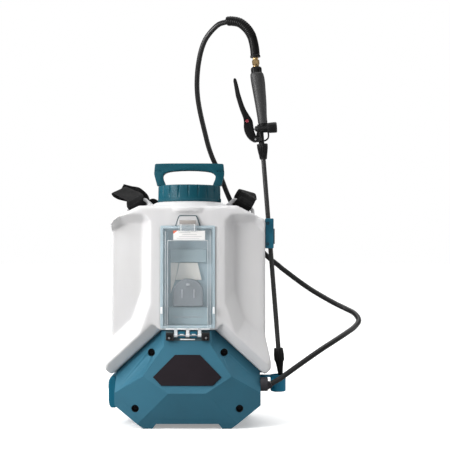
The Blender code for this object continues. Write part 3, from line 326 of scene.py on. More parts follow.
RED = plastic("lock_red", (0.26, 0.012, 0.030), 0.35, grain=1500.0, bump=0.08)
RUBBER = plastic("gasket_rubber", (0.026, 0.026, 0.028), 0.68, grain=800.0, bump=0.3, wear=0.1)
CLEAR = clear_plastic("door_clear", (0.46, 0.53, 0.57), 0.11)
# Whiter, nearly opaque clear plastic. On the door's edge strips it paints highlights; the hinge knuckles are
# made of it too.
CLEAR_EDGE = clear_plastic("door_edge", (0.80, 0.85, 0.88), 0.62, 0.2)
CLEAR_LATCH = clear_plastic("latch_clear", (0.60, 0.64, 0.66), 0.16)
LABEL = plastic("label_white", (0.86, 0.85, 0.84), 0.40, grain=3000.0, bump=0.03, mottle=0.03, wear=0.0)
LABEL_RED = plastic("label_red", (0.80, 0.16, 0.07), 0.40, grain=3000.0, bump=0.03, mottle=0.03, wear=0.0)
LABEL_GREY = plastic("label_grey", (0.46, 0.46, 0.47), 0.45, grain=3000.0, bump=0.03, mottle=0.03, wear=0.0)
STEEL = metal("plated_steel", (0.52, 0.52, 0.53))
BRASS = metal("turned_brass", (0.42, 0.29, 0.14), 0.36)
BOARD = board_green()
HOSE_BLACK = hose_rubber()
WEBBING = woven("black_webbing", (0.0030, 0.0030, 0.0033), sheen=0.03)
THREAD = plastic("stitch_thread", (0.030, 0.030, 0.032), 0.65, grain=2500.0, bump=0.3, wear=0.0)
PAD_MESH = mesh_fabric("pad_spacer_mesh", (0.018, 0.018, 0.020))
PIPING = plastic("pad_piping", (0.014, 0.014, 0.015), 0.62, grain=2500.0, bump=0.3, wear=0.0)
GREY_BLACK = plastic("outlet_grey", (0.030, 0.028, 0.034), 0.46, grain=1200.0, bump=0.25, mottle=0.14,
                     specular=DARK_SHINE)
DARK_STEEL = metal("dark_screw", (0.020, 0.020, 0.021), 0.45)
DARK_TEAL = plastic("teal_shaded", (0.006, 0.046, 0.062), 0.50, grain=1700.0, bump=0.16, mottle=0.07)
# The bay walls are a much paler copy of the teal: partly their own colour, partly painted light standing in
# for the washed, lit look of the bay through the clear door.
BAY_TEAL = plastic("bay_teal", (0.400, 0.500, 0.550), 0.50, grain=1700.0, bump=0.16, mottle=0.07)
BAY_GREY = plastic("bay_grey", (0.300, 0.390, 0.420), 0.50, grain=1200.0, bump=0.2)
RIB_GREY = plastic("rib_grey", (0.42, 0.43, 0.45), 0.42, grain=1200.0, bump=0.1)
LANCE_BLACK = plastic("lance_black", (0.0065, 0.0065, 0.0068), 0.24, grain=2600.0, bump=0.05, mottle=0.15,
                      specular=DARK_SHINE)


# ---------------------------------------------------------------- mesh tools

def new_object(name, mesh, mat=None):
    made = bpy.data.objects.new(name, mesh)
    bpy.context.scene.collection.objects.link(made)
    if mat:
        mesh.materials.append(mat)
    return made


def smooth(obj, angle=35):
    obj.data.shade_smooth()
    obj.data.set_sharp_from_angle(angle=math.radians(angle))
    return obj


def from_bmesh(name, bm, mat=None, angle=35):
    bmesh.ops.recalc_face_normals(bm, faces=bm.faces)
    mesh = bpy.data.meshes.new(name)
    bm.to_mesh(mesh)
    bm.free()
    return smooth(new_object(name, mesh, mat), angle)


def slab(name, outline, near, far, mat=None):
    """A flat outline of (x, z) points, extruded from y = near to y = far."""
    bm = bmesh.new()
    face = bm.faces.new([bm.verts.new((x, near, z)) for x, z in outline])
    grown = bmesh.ops.extrude_face_region(bm, geom=[face])
    points = [piece for piece in grown["geom"] if isinstance(piece, bmesh.types.BMVert)]
    bmesh.ops.translate(bm, verts=points, vec=(0, far - near, 0))
    return from_bmesh(name, bm, mat)


def mirrored(right_half):
    return right_half + [(-x, z) for x, z in reversed(right_half) if x > 0]


def block(name, low, high, mat=None):
    low, high = Vector(low), Vector(high)
    bm = bmesh.new()
    matrix = Matrix.Translation((low + high) / 2) @ Matrix.Diagonal((*(high - low), 1.0))
    bmesh.ops.create_cube(bm, size=1.0, matrix=matrix)
    return from_bmesh(name, bm, mat)


def rod(name, start, end, radius, mat=None, end_radius=None, sides=24):
    start, end = Vector(start), Vector(end)
    along = end - start
    turn = along.to_track_quat("Z", "Y").to_matrix().to_4x4()
    bm = bmesh.new()
    bmesh.ops.create_cone(
        bm, cap_ends=True, segments=sides, radius1=radius, depth=along.length,
        radius2=radius if end_radius is None else end_radius,
        matrix=Matrix.Translation((start + end) / 2) @ turn,
    )
    return from_bmesh(name, bm, mat)


def faceted(name, planes, inset=0.0, mat=None):
    """The space inside (point, outward normal) planes, each moved inwards by inset."""
    bm = bmesh.new()
    bmesh.ops.create_cube(bm, size=1.4)
    for point, normal in planes:
        normal = Vector(normal).normalized()
        found = bmesh.ops.bisect_plane(
            bm, geom=bm.verts[:] + bm.edges[:] + bm.faces[:], plane_co=Vector(point) - normal * inset,
            plane_no=normal, clear_outer=True, dist=1e-7,
        )
        edges = [piece for piece in found["geom_cut"] if isinstance(piece, bmesh.types.BMEdge)]
        bmesh.ops.edgeloop_fill(bm, edges=edges)
    return from_bmesh(name, bm, mat)


def turned(name, profile, mat, matrix=None, segments=64, shape=None, closed=False, angle=35):
    """A (radius, height) profile turned about +Z; shape(radius, height, turn) can flute or rib it."""
    bm = bmesh.new()
    rows = []
    for radius, height in profile:
        if radius < 1e-6:
            rows.append([bm.verts.new((0, 0, height))])
            continue
        row = []
        for i in range(segments):
            turn = math.tau * i / segments
            reach = shape(radius, height, turn) if shape else radius
            row.append(bm.verts.new((reach * math.cos(turn), reach * math.sin(turn), height)))
        rows.append(row)
    pairs = list(zip(rows, rows[1:]))
    if closed:
        pairs.append((rows[-1], rows[0]))
    for a, b in pairs:
        for i in range(segments):
            j = (i + 1) % segments
            if len(a) == 1 and len(b) == 1:
                break
            if len(a) == 1:
                bm.faces.new((a[0], b[j], b[i]))
            elif len(b) == 1:
                bm.faces.new((a[i], a[j], b[0]))
            else:
                bm.faces.new((a[i], a[j], b[j], b[i]))
    if matrix:
        bm.transform(matrix)
    return from_bmesh(name, bm, mat, angle)


def smooth_route(points, spacing):
    """Points about this far apart on a Catmull-Rom curve through the given ones."""
    knots = [Vector(point) for point in points]
    knots = [2 * knots[0] - knots[1]] + knots + [2 * knots[-1] - knots[-2]]
    found = [knots[1]]
    for a, b, c, d in zip(knots, knots[1:], knots[2:], knots[3:]):
        steps = max(1, round((c - b).length / spacing))
        for step in range(1, steps + 1):
            t = step / steps
            bend = (2 * a - 5 * b + 4 * c - d) * t**2 + (3 * b - a - 3 * c + d) * t**3
            found.append(0.5 * (2 * b + (c - a) * t + bend))
    return found


def tangents(path):
    return [
        (path[min(i + 1, len(path) - 1)] - path[max(i - 1, 0)]).normalized() for i in range(len(path))
    ]


def rings_to_mesh(name, rings, lengths, mat, angle=50):
    """A closed body through rings of as many points each. UV is metres along and metres around."""
    bm = bmesh.new()
    layer = bm.loops.layers.uv.new("UVMap")
    rows = [[bm.verts.new(point) for point in ring] for ring in rings]
    count = len(rings[0])
    around = [0.0]
    middle = rings[len(rings) // 2]
    for i in range(count):
        around.append(around[-1] + (Vector(middle[(i + 1) % count]) - Vector(middle[i])).length)
    for k in range(len(rows) - 1):
        for i in range(count):
            j = (i + 1) % count
            face = bm.faces.new((rows[k][i], rows[k][j], rows[k + 1][j], rows[k + 1][i]))
            places = (
                (lengths[k], around[i]), (lengths[k], around[i + 1]),
                (lengths[k + 1], around[i + 1]), (lengths[k + 1], around[i]),
            )
            for loop, place in zip(face.loops, places):
                loop[layer].uv = place
    for row in (rows[0], rows[-1]):
        bm.faces.new(row)
    return from_bmesh(name, bm, mat, angle)


def run_lengths(path):
    found = [0.0]
    for a, b in zip(path, path[1:]):
        found.append(found[-1] + (b - a).length)
    return found


def sweep(name, path, radius, mat, sides=20, angle=50):
    """A round body along a path. radius is a number or a function of the distance along it."""
    path = [Vector(point) for point in path]
    lengths = run_lengths(path)
    side = None
    rings = []
    for place, along, length in zip(path, tangents(path), lengths):
        if side is None:
            side = along.orthogonal().normalized()
        side = (side - along * side.dot(along)).normalized()
        up = along.cross(side)
        reach = radius(length) if callable(radius) else radius
        rings.append([
            place + (side * math.cos(math.tau * i / sides) + up * math.sin(math.tau * i / sides)) * reach
            for i in range(sides)
        ])
    return rings_to_mesh(name, rings, lengths, mat, angle)


def ribbon(name, path, across, half_width, thickness, mat, columns=14):
    """Flat webbing along a path with soft selvedges; across gives its width direction at each point."""
    path = [Vector(point) for point in path]
    lengths = run_lengths(path)
    rings = []
    for i, (place, along) in enumerate(zip(path, tangents(path))):
        side = Vector(across[i])
        side = (side - along * side.dot(along)).normalized()
        up = along.cross(side).normalized()
        top, bottom = [], []
        for k in range(columns + 1):
            v = 2 * k / columns - 1
            v = math.copysign(abs(v) ** 0.8, v)
            half = thickness / 2 * (1 - 0.55 * abs(v) ** 10)
            top.append(place + side * half_width * v + up * half)
            bottom.append(place + side * half_width * v - up * half)
        rings.append(bottom + top[::-1])
    return rings_to_mesh(name, rings, lengths, mat, 60)


def turns_along(route, knots, turns):
    """The width direction at each point of a route, eased between those given at its knots."""
    marks, found = run_lengths(knots), []
    here = run_lengths(route)
    for length in here:
        place = length / here[-1] * marks[-1]
        k = max(i for i in range(len(marks) - 1) if marks[i] <= place + 1e-9)
        share = (place - marks[k]) / (marks[k + 1] - marks[k])
        found.append(Vector(turns[k]).lerp(Vector(turns[k + 1]), min(1.0, share)))
    return found


def cut(obj, other, operation="DIFFERENCE"):
    modifier = obj.modifiers.new(operation.title(), "BOOLEAN")
    modifier.operation = operation
    modifier.object = other
    other.hide_render = True


def round_edges(obj, width, segments=3, angle=30):
    modifier = obj.modifiers.new("Round", "BEVEL")
    modifier.width = width
    modifier.segments = segments
    modifier.limit_method = "ANGLE"
    modifier.angle_limit = math.radians(angle)
    modifier.harden_normals = False
    return obj


def baked(obj, *helpers, angle=35):
    """Applies every modifier and removes the helper objects."""
    bpy.context.view_layer.update()
    graph = bpy.context.evaluated_depsgraph_get()
    mesh = bpy.data.meshes.new_from_object(obj.evaluated_get(graph))
    old = obj.data
    obj.modifiers.clear()
    obj.data = mesh
    bpy.data.meshes.remove(old)
    for helper in helpers:
        bpy.data.objects.remove(helper)
    return smooth(obj, angle)


def flatten_shading(obj):
    """Lets the broad faces set the normals, so that a rounded edge doesn't shade the face beside it."""
    weighted = obj.modifiers.new("Weighted", "WEIGHTED_NORMAL")
    weighted.mode = "FACE_AREA"
    weighted.weight = 100
    weighted.keep_sharp = True
    return obj


def soften(obj, voxel, steps, extra_steps, crisp_above):
    """Remeshes and relaxes a solid, as blow moulding rounds it, more so below the given height."""
    remesh = obj.modifiers.new("Remesh", "REMESH")
    remesh.mode = "VOXEL"
    remesh.voxel_size = voxel
    relax = obj.modifiers.new("Relax", "SMOOTH")
    relax.factor = 0.5
    relax.iterations = steps
    baked(obj)
    group = obj.vertex_groups.new(name="soft")
    for vertex in obj.data.vertices:
        if vertex.co.z < crisp_above:
            group.add([vertex.index], min(1.0, (crisp_above - vertex.co.z) / 0.012), "REPLACE")
    more = obj.modifiers.new("More", "SMOOTH")
    more.factor = 0.5
    more.iterations = extra_steps
    more.vertex_group = "soft"
    baked(obj)
    obj.vertex_groups.clear()
    obj.data.shade_smooth()
    return obj


def fit(obj, body, slot, *nodes):
    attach(obj, body)
    if nodes:
        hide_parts(*nodes)
    return obj


def rounded(obj, body, slot, width, segments=3):
    """Rounds a small piece's edges, and fits it to its body."""
    round_edges(obj, width, segments)
    return fit(baked(obj), body, slot)


def turned_to(place, degrees, axis):
    return Matrix.Translation(place) @ Matrix.Rotation(math.radians(degrees), 4, axis)


def dress(name, mat, width=0.0, segments=2, angle=30):
    """Gives a CAD node its material and, if asked, rounded edges."""
    obj = NODES[name]
    obj.data.materials.clear()
    obj.data.materials.append(mat)
    if width:
        weld = obj.modifiers.new("Weld", "WELD")
        weld.merge_threshold = 2e-5
        flat = obj.modifiers.new("Flat", "DECIMATE")
        flat.decimate_type = "DISSOLVE"
        flat.angle_limit = math.radians(1.5)
        round_edges(obj, width, segments, angle)
        flatten_shading(obj)
    return obj


# ---------------------------------------------------------------- camera, light and floor

def build_studio():
    scene = bpy.context.scene
    scene.view_settings.view_transform = "Standard"
    camera = bpy.data.objects.new("camera", bpy.data.cameras.new("camera"))
    scene.collection.objects.link(camera)
    camera.location = CAMERA_PLACE
    camera.rotation_euler = (math.radians(CAMERA_PITCH), 0, 0)
    camera.data.lens = CAMERA_LENS
    scene.camera = camera

    world = bpy.data.worlds.new("studio")
    world.use_nodes = True
    scene.world = world
    tree = world.node_tree
    up = node(tree, "SeparateXYZ", {0: node(tree, "TexCoord").outputs["Generated"]}).outputs[2]
    seen = node(tree, "LightPath").outputs["Is Camera Ray"]
    level = calc(tree, "MAXIMUM", spread(tree, up, 0.26, 0.45, 0.40, 0.18), seen)
    background = tree.nodes["Background"]
    tree.links.new(level, background.inputs["Strength"])
    background.inputs["Color"].default_value = (1.0, 1.0, 1.0, 1.0)

    for name, place, target, size, power, colour in (
        ("key", (-0.95, -0.72, 0.75), (0.0, 0.0, 0.30), 0.5, 12.0, (1.0, 0.99, 0.98)),
        ("window", (-1.15, -0.25, 1.05), (0.0, 0.0, 0.20), 0.7, 8.0, (0.98, 0.99, 1.0)),
        ("front", (-0.40, -2.00, 1.10), (0.0, 0.0, 0.35), 1.2, 4.5, (1.0, 1.0, 1.0)),
        ("side", (1.50, -0.10, 0.60), (0.1, 0.0, 0.25), 1.0, 4.0, (1.0, 1.0, 1.0)),
        ("rear", (0.40, 2.00, 1.50), (0.0, 0.1, 0.40), 1.2, 9.0, (1.0, 1.0, 1.0)),
    ):
        lamp = bpy.data.lights.new(name, "AREA")
        lamp.shape = "DISK"
        lamp.size = size
        lamp.energy = power
        lamp.color = colour
        light = bpy.data.objects.new(name, lamp)
        scene.collection.objects.link(light)
        light.location = place
        light.rotation_euler = (Vector(target) - Vector(place)).to_track_quat("-Z", "Y").to_euler()
    sun = bpy.data.lights.new("overhead", "SUN")
    sun.angle = math.radians(70)
    sun.energy = 2.25
    scene.collection.objects.link(bpy.data.objects.new("overhead", sun))

    made, tree, shader = material("studio_floor")
    soft = blend_colours(tree, noise(tree, 3.0, 4.0), (0.90, 0.90, 0.90), (0.92, 0.92, 0.92))
    seen = node(tree, "LightPath").outputs["Is Camera Ray"]
    soft = blend_colours(tree, seen, (0.42, 0.42, 0.42), soft)
    tree.links.new(soft, shader.inputs["Base Color"])
    shader.inputs["Roughness"].default_value = 0.9
    shader.inputs["Emission Color"].default_value = (1.0, 1.0, 1.0, 1.0)
    tree.links.new(calc(tree, "MULTIPLY", seen, 0.30), shader.inputs["Emission Strength"])
    bm = bmesh.new()
    bmesh.ops.create_circle(bm, cap_ends=True, segments=64, radius=30.0,
                            matrix=Matrix.Translation((0, 0, -0.0002)))
    floor = from_bmesh("studio_floor", bm, made)


# ---------------------------------------------------------------- hose

def build_hose():
    path = smooth_route(HOSE_ROUTE, 0.007)
    hose = sweep("hose_finished", path, HOSE_RADIUS, HOSE_BLACK, sides=28)
    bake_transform(hose)
    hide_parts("hose")

    end = Vector(HOSE_ROUTE[0])
    along = (Vector(HOSE_ROUTE[1]) - end).normalized()
    start = end - along * 0.0215
    place = Matrix.Translation(start) @ along.to_track_quat("Z", "Y").to_matrix().to_4x4()

    def ribbed(radius, height, turn):
        return radius - (0.0005 if math.sin(turn * 14) < -0.2 and height < 0.0165 else 0.0)

    nut = turned("hose_nut_ribbed", [
        (0.0, 0.0), (0.0087, 0.0), (0.0087, 0.0120), (0.0086, 0.0165), (0.0083, 0.0172), (0.0080, 0.0180),
        (0.0076, 0.0205), (0.0070, 0.0212), (0.0, 0.0212),
    ], GREY_BLACK, place, 128, ribbed)
    face = block("nut_face", (0.10, -0.1, 0.0), (0.1793, 0.1, 0.2))
    cut(nut, face)
    baked(nut, face)
    fit(nut, "frame", "black_plastic", "hose_nut")


# ---------------------------------------------------------------- tank

COLUMN_HALF = 0.0845
PANEL_FLOOR = -0.040
TANK_FRONT = -0.066
TANK_BACK = 0.110
RIDGE = (0.0801, 0.2316)
COVER_REAR = -0.0280
NECK_Y = 0.030
SLOT_AT = (0.1225, 0.054, 0.4930)
SLOT_TILT = math.radians(30)
THREAD_RADIUS = 0.0620
THREAD_PITCH = 0.0065
THREAD_STEPS = 72


def tank_cutters(side):
    ridge = (side * RIDGE[0], TANK_FRONT, RIDGE[1])
    panel = [
        ((0, PANEL_FLOOR, 0), (0, 1, 0)),
        ((side * COLUMN_HALF, TANK_FRONT, 0), (-side, 0.71, 0)),
        (ridge, (-side * 0.92, 1.95, -1)),
        ((0, TANK_FRONT, 0.4750), (0, 0.77, 1)),
        ((side * (RIDGE[0] + 0.012), TANK_FRONT, RIDGE[1] + 0.020), (-side * 1.20, 1.40, -0.42)),
        ((side * (COLUMN_HALF + 0.004), TANK_FRONT, 0.4640), (-side, 0.75, 1)),
        ((side * 0.172, TANK_FRONT, 0.4560), (side, 0.75, 1)),
    ]
    skirt = [
        (ridge, (side * 0.92, 2.00, 1)),
        (ridge, (-side * 0.90, 0, 1)),
        ((0, COVER_REAR + 0.0006, 0), (0, 1, 0)),
    ]
    return panel, skirt


def build_tank():
    outline = mirrored([
        (0.110, 0.494), (0.150, 0.474), (0.172, 0.463), (0.174, 0.455), (0.174, 0.200),
        (0.186, 0.145), (0.186, 0.128), (0.174, 0.116),
    ])
    tank = round_edges(slab("tank_shell", outline, TANK_FRONT, TANK_BACK, TANK), 0.010, 3, 50)
    helpers = []

    def take(other, operation="DIFFERENCE"):
        helpers.append(other)
        cut(tank, other, operation)

    for side in (1, -1):
        panel, skirt = tank_cutters(side)
        take(faceted(f"panel_cut_{side}", panel))
        take(faceted(f"skirt_cut_{side}", skirt))
    take(slab("cover_seat_cut", mirrored([(0.0605, 0.216), (0.250, 0.0430), (0.250, 0.030)]),
              TANK_FRONT - 0.1, COVER_REAR + 0.0006))
    # A shallow moulded field with three stiffening grooves keeps the flat back from bowing.
    take(slab("back_field_cut", mirrored([(0.060, 0.440), (0.072, 0.428), (0.072, 0.172), (0.060, 0.160)]),
              TANK_BACK - 0.0035, TANK_BACK + 0.02))
    for height in (0.230, 0.300, 0.370):
        take(block(f"back_groove_{height}", (-0.062, TANK_BACK - 0.0075, height - 0.006),
                   (0.062, TANK_BACK + 0.02, height + 0.006)))
    for side in (1, -1):
        # The ear stands behind the tank's front edge, and its slot leans as the shoulder does.
        ear = slab(f"ear_{side}", [(side * x, z) for x, z in (
            (0.072, 0.484), (0.086, 0.502), (0.1025, 0.5165), (0.1085, 0.5165), (0.146, 0.4965),
            (0.152, 0.489), (0.153, 0.470), (0.140, 0.465),
        )], 0.046, 0.062)
        slot = block(f"strap_slot_{side}", (-0.0235, -0.05, -0.0052), (0.0235, 0.05, 0.0052))
        slot.location = (side * SLOT_AT[0], SLOT_AT[1], SLOT_AT[2])
        slot.rotation_euler = (0, side * SLOT_TILT, 0)
        cut(ear, slot)
        baked(ear, slot)
        take(ear, "UNION")
    place = Matrix.Translation((0, NECK_Y, 0))
    take(turned("neck", [
        (0.0, 0.480), (0.1020, 0.480), (0.1020, 0.4895), (0.0940, 0.4935), (0.0860, 0.4985), (0.0800, 0.5025),
        (0.0755, 0.5045), (0.0620, 0.5047), (0.0620, 0.5320), (0.0, 0.5320),
    ], None, place, 96), "UNION")
    take(rod("sump_spigot", (0.090, 0.050, 0.104), (0.090, 0.050, 0.120), 0.0085), "UNION")
    take(block("bay_cut", (-0.0585, -0.2, 0.2215), (0.0585, -0.0105, 0.4455)))
    take(rod("neck_bore", (0, NECK_Y, 0.446), (0, NECK_Y, 0.560), 0.056, sides=64))
    baked(tank, *helpers)
    soften(tank, 0.0024, 5, 8, 0.478)
    fit(tank, "frame", "white_hdpe", "tank")

    # The neck's thread, in the natural plastic, shows once the lid is off.
    turns = []
    for i in range(2 * THREAD_STEPS + 1):
        turn = math.tau * i / THREAD_STEPS
        turns.append((THREAD_RADIUS * math.cos(turn), NECK_Y + THREAD_RADIUS * math.sin(turn),
                      0.5105 + THREAD_PITCH * i / THREAD_STEPS))
    thread = sweep("neck_thread", turns, 0.0011, TANK, sides=8)
    fit(thread, "frame", "white_hdpe")


# ---------------------------------------------------------------- lid

LID_TOP = 0.543


def build_lid():
    place = Matrix.Translation((0, NECK_Y, 0))

    def notched(radius, height, turn):
        """Twenty shallow finger notches that run out towards the rim."""
        if radius < 0.068 or height > LID_TOP - 0.0005:
            return radius
        away = abs((math.degrees(turn) + 9) % 18 - 9)
        depth = max(0.0, min(1.0, (height - 0.5130) / 0.012))
        return radius - 0.0019 * depth * max(0.0, 1 - (away / 1.5) ** 2)

    cap = turned("cap_notched", [
        (0.0, LID_TOP - 0.0008), (0.0500, LID_TOP - 0.0008), (0.0520, LID_TOP), (0.0685, LID_TOP),
        (0.0705, LID_TOP - 0.0005), (0.0718, LID_TOP - 0.0018), (0.0722, LID_TOP - 0.0040), (0.0723, 0.5300),
        (0.0724, 0.5200), (0.0725, 0.5140), (0.0725, 0.5120), (0.0731, 0.5112), (0.0732, 0.5062),
        (0.0728, 0.5052), (0.0634, 0.5050), (0.0634, 0.5366), (0.0, 0.5366),
    ], LID_TEAL, place, 360, notched, angle=28)
    fit(cap, "lid", "teal_plastic", "lid_cap")
    lug = block("cap_lug", (0.0700, NECK_Y - 0.0260, 0.5052), (0.0740, NECK_Y - 0.0180, 0.5125), LID_TEAL)
    rounded(lug, "lid", "teal_plastic", 0.0008)


def build_handle():
    outer = [
        (0.0, 0.5955), (0.0400, 0.5954), (0.0640, 0.5950), (0.0775, 0.5944), (0.0797, 0.5925),
        (0.0803, 0.5860), (0.0814, 0.5740), (0.0812, 0.5690), (0.0786, 0.5590), (0.0756, 0.5480),
        (0.0745, 0.5433),
    ]
    opening = [
        (0.0, 0.5795), (0.0200, 0.5790), (0.0380, 0.5776), (0.0490, 0.5757), (0.0560, 0.5728),
        (0.0603, 0.5684), (0.0612, 0.5640), (0.0600, 0.5580), (0.0566, 0.5500), (0.0545, 0.5433),
    ]
    half = outer + opening[::-1]
    outline = [(x, z) for x, z in half if x > 0] + [(0.0, 0.5795)]
    outline += [(-x, z) for x, z in opening[1:]] + [(-x, z) for x, z in outer[::-1][:-1]] + [(0.0, 0.5955)]
    front, back = NECK_Y - 0.014, NECK_Y + 0.014
    handle = slab("bail_handle", outline, front, back, LID_TEAL)
    helpers = []
    for side in (1, -1):
        line = block(f"handle_line_{side}", (min(side * 0.0640, side * 0.0900), front - 0.01, 0.5766),
                     (max(side * 0.0640, side * 0.0900), front + 0.0018, 0.5780))
        cut(handle, line)
        helpers.append(line)
    # The bar's underside is hollowed to a shell with cross ribs, as moulded handles are.
    under = block("handle_hollow", (-0.050, front + 0.0045, 0.5700), (0.050, back - 0.0045, 0.5890))
    cut(handle, under)
    helpers.append(under)
    round_edges(handle, 0.0022, 3, 40)
    fit(baked(handle, *helpers), "lid", "teal_plastic", "lid_handle")
    for x in (-0.030, -0.010, 0.010, 0.030):
        rib = block("handle_rib", (x - 0.0009, front + 0.004, 0.5810), (x + 0.0009, back - 0.004, 0.5895),
                    LID_TEAL)
        rounded(rib, "lid", "teal_plastic", 0.0003, 1)
    for name, mat in (("lid_gasket", RUBBER), ("fill_strainer", BLACK), ("suction_filter", BLACK)):
        dress(name, mat)


# ---------------------------------------------------------------- base

def cover_depth(z):
    """Y of the front cover's main facet."""
    return -0.062 - (0.214 - z) * 0.365


def surface(obj, x, z):
    """Y where a line from the front first meets the object."""
    return obj.ray_cast(Vector((x, -0.5, z)), Vector((0, 1, 0)))[1].y


def through(a, b, c):
    """The plane through three points, facing away from the tank's middle."""
    a, b, c = Vector(a), Vector(b), Vector(c)
    normal = (b - a).cross(c - a)
    if normal.dot(a - Vector((0, 0, 0.1))) < 0:
        normal.negate()
    return a, normal


def build_cover():
    """The faceted cover, with the shoulders that carry the hinge seat and softened ridges."""
    bm = bmesh.new()
    bm.from_mesh(NODES["front_cover"].data)
    bmesh.ops.remove_doubles(bm, verts=bm.verts, dist=2e-5)
    cover = from_bmesh("cover_shell", bm, TEAL)
    planes = [
        ((0, -0.062, 0.214), (0, -1, 0.365)), ((0, 0, 0.214), (0, 0, 1)), ((0, -0.040, 0), (0, 1, 0)),
        ((0, 0, 0.155), (0, 0, -1)),
    ]
    for side in (1, -1):
        planes.append(through(
            (side * 0.0505, cover_depth(0.214), 0.214), (side * 0.0545, cover_depth(0.172), 0.172),
            (side * 0.0600, -0.040, 0.214),
        ))
    shoulder = faceted("cover_shoulder", planes)
    cut(cover, shoulder, "UNION")
    flat = cover.modifiers.new("Flat", "DECIMATE")
    flat.decimate_type = "DISSOLVE"
    flat.angle_limit = math.radians(1.5)
    round_edges(cover, 0.0026, 4, 9)
    return fit(flatten_shading(baked(cover, shoulder, angle=35)), "frame", "teal_plastic", "front_cover")


def build_base():
    cover = build_cover()
    dress("base_housing", TEAL, 0.0022, 3, 20)
    dress("badge_plate", BADGE_BLACK, 0.0005, 2)
    for number, (x, floor, z) in enumerate((
        (0.081, -0.046, 0.1655), (-0.081, -0.046, 0.1655), (0.115, -0.073, 0.0450), (-0.115, -0.073, 0.0450),
    ), 1):
        # The screw heads are dressed in near-black steel as painted shade, because they sit deep in their
        # wells.
        dress(f"cover_screw_{number}", DARK_STEEL, 0.0003, 2)
        rim = max(surface(cover, x + dx, z + dz) for dx, dz in (
            (0.0098, 0.0), (-0.0098, 0.0), (0.0, 0.0098), (0.0, -0.0098)))
        height = floor - rim
        turn = turned_to((x, floor, z), 90, "X")
        # A black sleeve down each well, with a lip at its mouth: painted shade that stands in for the
        # darkness of the deep well.
        shade_sleeve = turned(f"well_painted_shade_{number}", [
            (0.0, 0.0006), (0.0074, 0.0006), (0.0076, 0.0010), (0.0076, height), (0.0079, height + 0.0003),
            (0.0083, height), (0.0083, 0.0002), (0.0, 0.0002),
        ], BLACK, turn, 48)
        fit(shade_sleeve, "frame", "black_plastic")


def build_hinge_seat():
    """The darker step at the top of the cover, its darkness painted shade, with a white strip near its lower
    edge as a painted highlight, and the hinge's blocks, webs and pin.
    """
    bm = bmesh.new()
    corners = [(-0.0490, 0.2136), (0.0490, 0.2136), (0.0490, 0.1950), (0.0462, 0.1922), (-0.0462, 0.1922),
               (-0.0490, 0.1950)]
    face = bm.faces.new([bm.verts.new((x, cover_depth(z) - 0.0006, z)) for x, z in corners])
    grown = bmesh.ops.extrude_face_region(bm, geom=[face])
    points = [piece for piece in grown["geom"] if isinstance(piece, bmesh.types.BMVert)]
    bmesh.ops.translate(bm, verts=points, vec=(0, 0.0012, 0))
    step = from_bmesh("hinge_seat", bm, DARK_TEAL)
    rounded(step, "frame", "teal_plastic", 0.0002, 1)
    # A white strip along the step's lower edge: a painted highlight, standing in for the light that edge
    # catches.
    bar = block("hinge_seat_highlight", (-0.0166, cover_depth(0.1955) - 0.0030, 0.1943),
                (0.0166, cover_depth(0.1955) - 0.0004, 0.1966), WHITE_CLIP)
    rounded(bar, "frame", "clear_plastic", 0.0006)
    for i, x in enumerate((-0.0133, 0.0133)):
        web = block(f"hinge_web_{i}", (x - 0.0075, -0.0725, 0.1990), (x + 0.0075, -0.0640, 0.2130), TEAL)
        lighter = block(f"hinge_window_{i}", (x - 0.0042, -0.0729, 0.2035), (x + 0.0042, -0.0722, 0.2075),
                        WHITE_CLIP)
        round_edges(web, 0.0010)
        round_edges(lighter, 0.0003, 1)
        fit(baked(web), "frame", "teal_plastic")
        fit(baked(lighter), "frame", "clear_plastic")
    for side, word in SIDES:
        dress("hinge_block_" + word, BLACK, 0.0008, 2)
        head = turned("hinge_screw_" + word, [
            (0.0, 0.0012), (0.0009, 0.0012), (0.0011, 0.0020), (0.0022, 0.0018), (0.0026, 0.0010),
            (0.0026, 0.0),
        ], STEEL, turned_to((side * 0.041, -0.0770, 0.1990), 90, "X"), 32)
        fit(head, "frame", "steel")
    dress("hinge_pin", STEEL)


def build_pump_and_pod():
    dress("control_pod", TEAL, 0.0016, 3, 20)
    dress("power_switch", BLACK, 0.0006, 2)
    build_dial()
    for name, mat in (
        ("pump_motor", STEEL), ("motor_shaft", STEEL), ("pump_bracket", BLACK), ("pump_head", BLACK),
        ("pressure_sensor", STEEL), ("circuit_board", BOARD), ("suction_tube", RUBBER),
        ("delivery_tube", RUBBER), ("outlet_elbow", GREY_BLACK),
    ):
        dress(name, mat, 0.0004, 2)
    # The screws at the back of the housing.
    for x, z in ((0.125, 0.090), (-0.125, 0.090), (0.060, 0.030), (-0.060, 0.030)):
        head = turned("housing_screw", [
            (0.0, 0.0004), (0.0018, 0.0004), (0.0022, 0.0014), (0.0040, 0.0010), (0.0046, 0.0),
            (0.0046, -0.001), (0.0, -0.001),
        ], DARK_STEEL, turned_to((x, 0.105, z), -90, "X"), 32)
        fit(head, "frame", "steel")


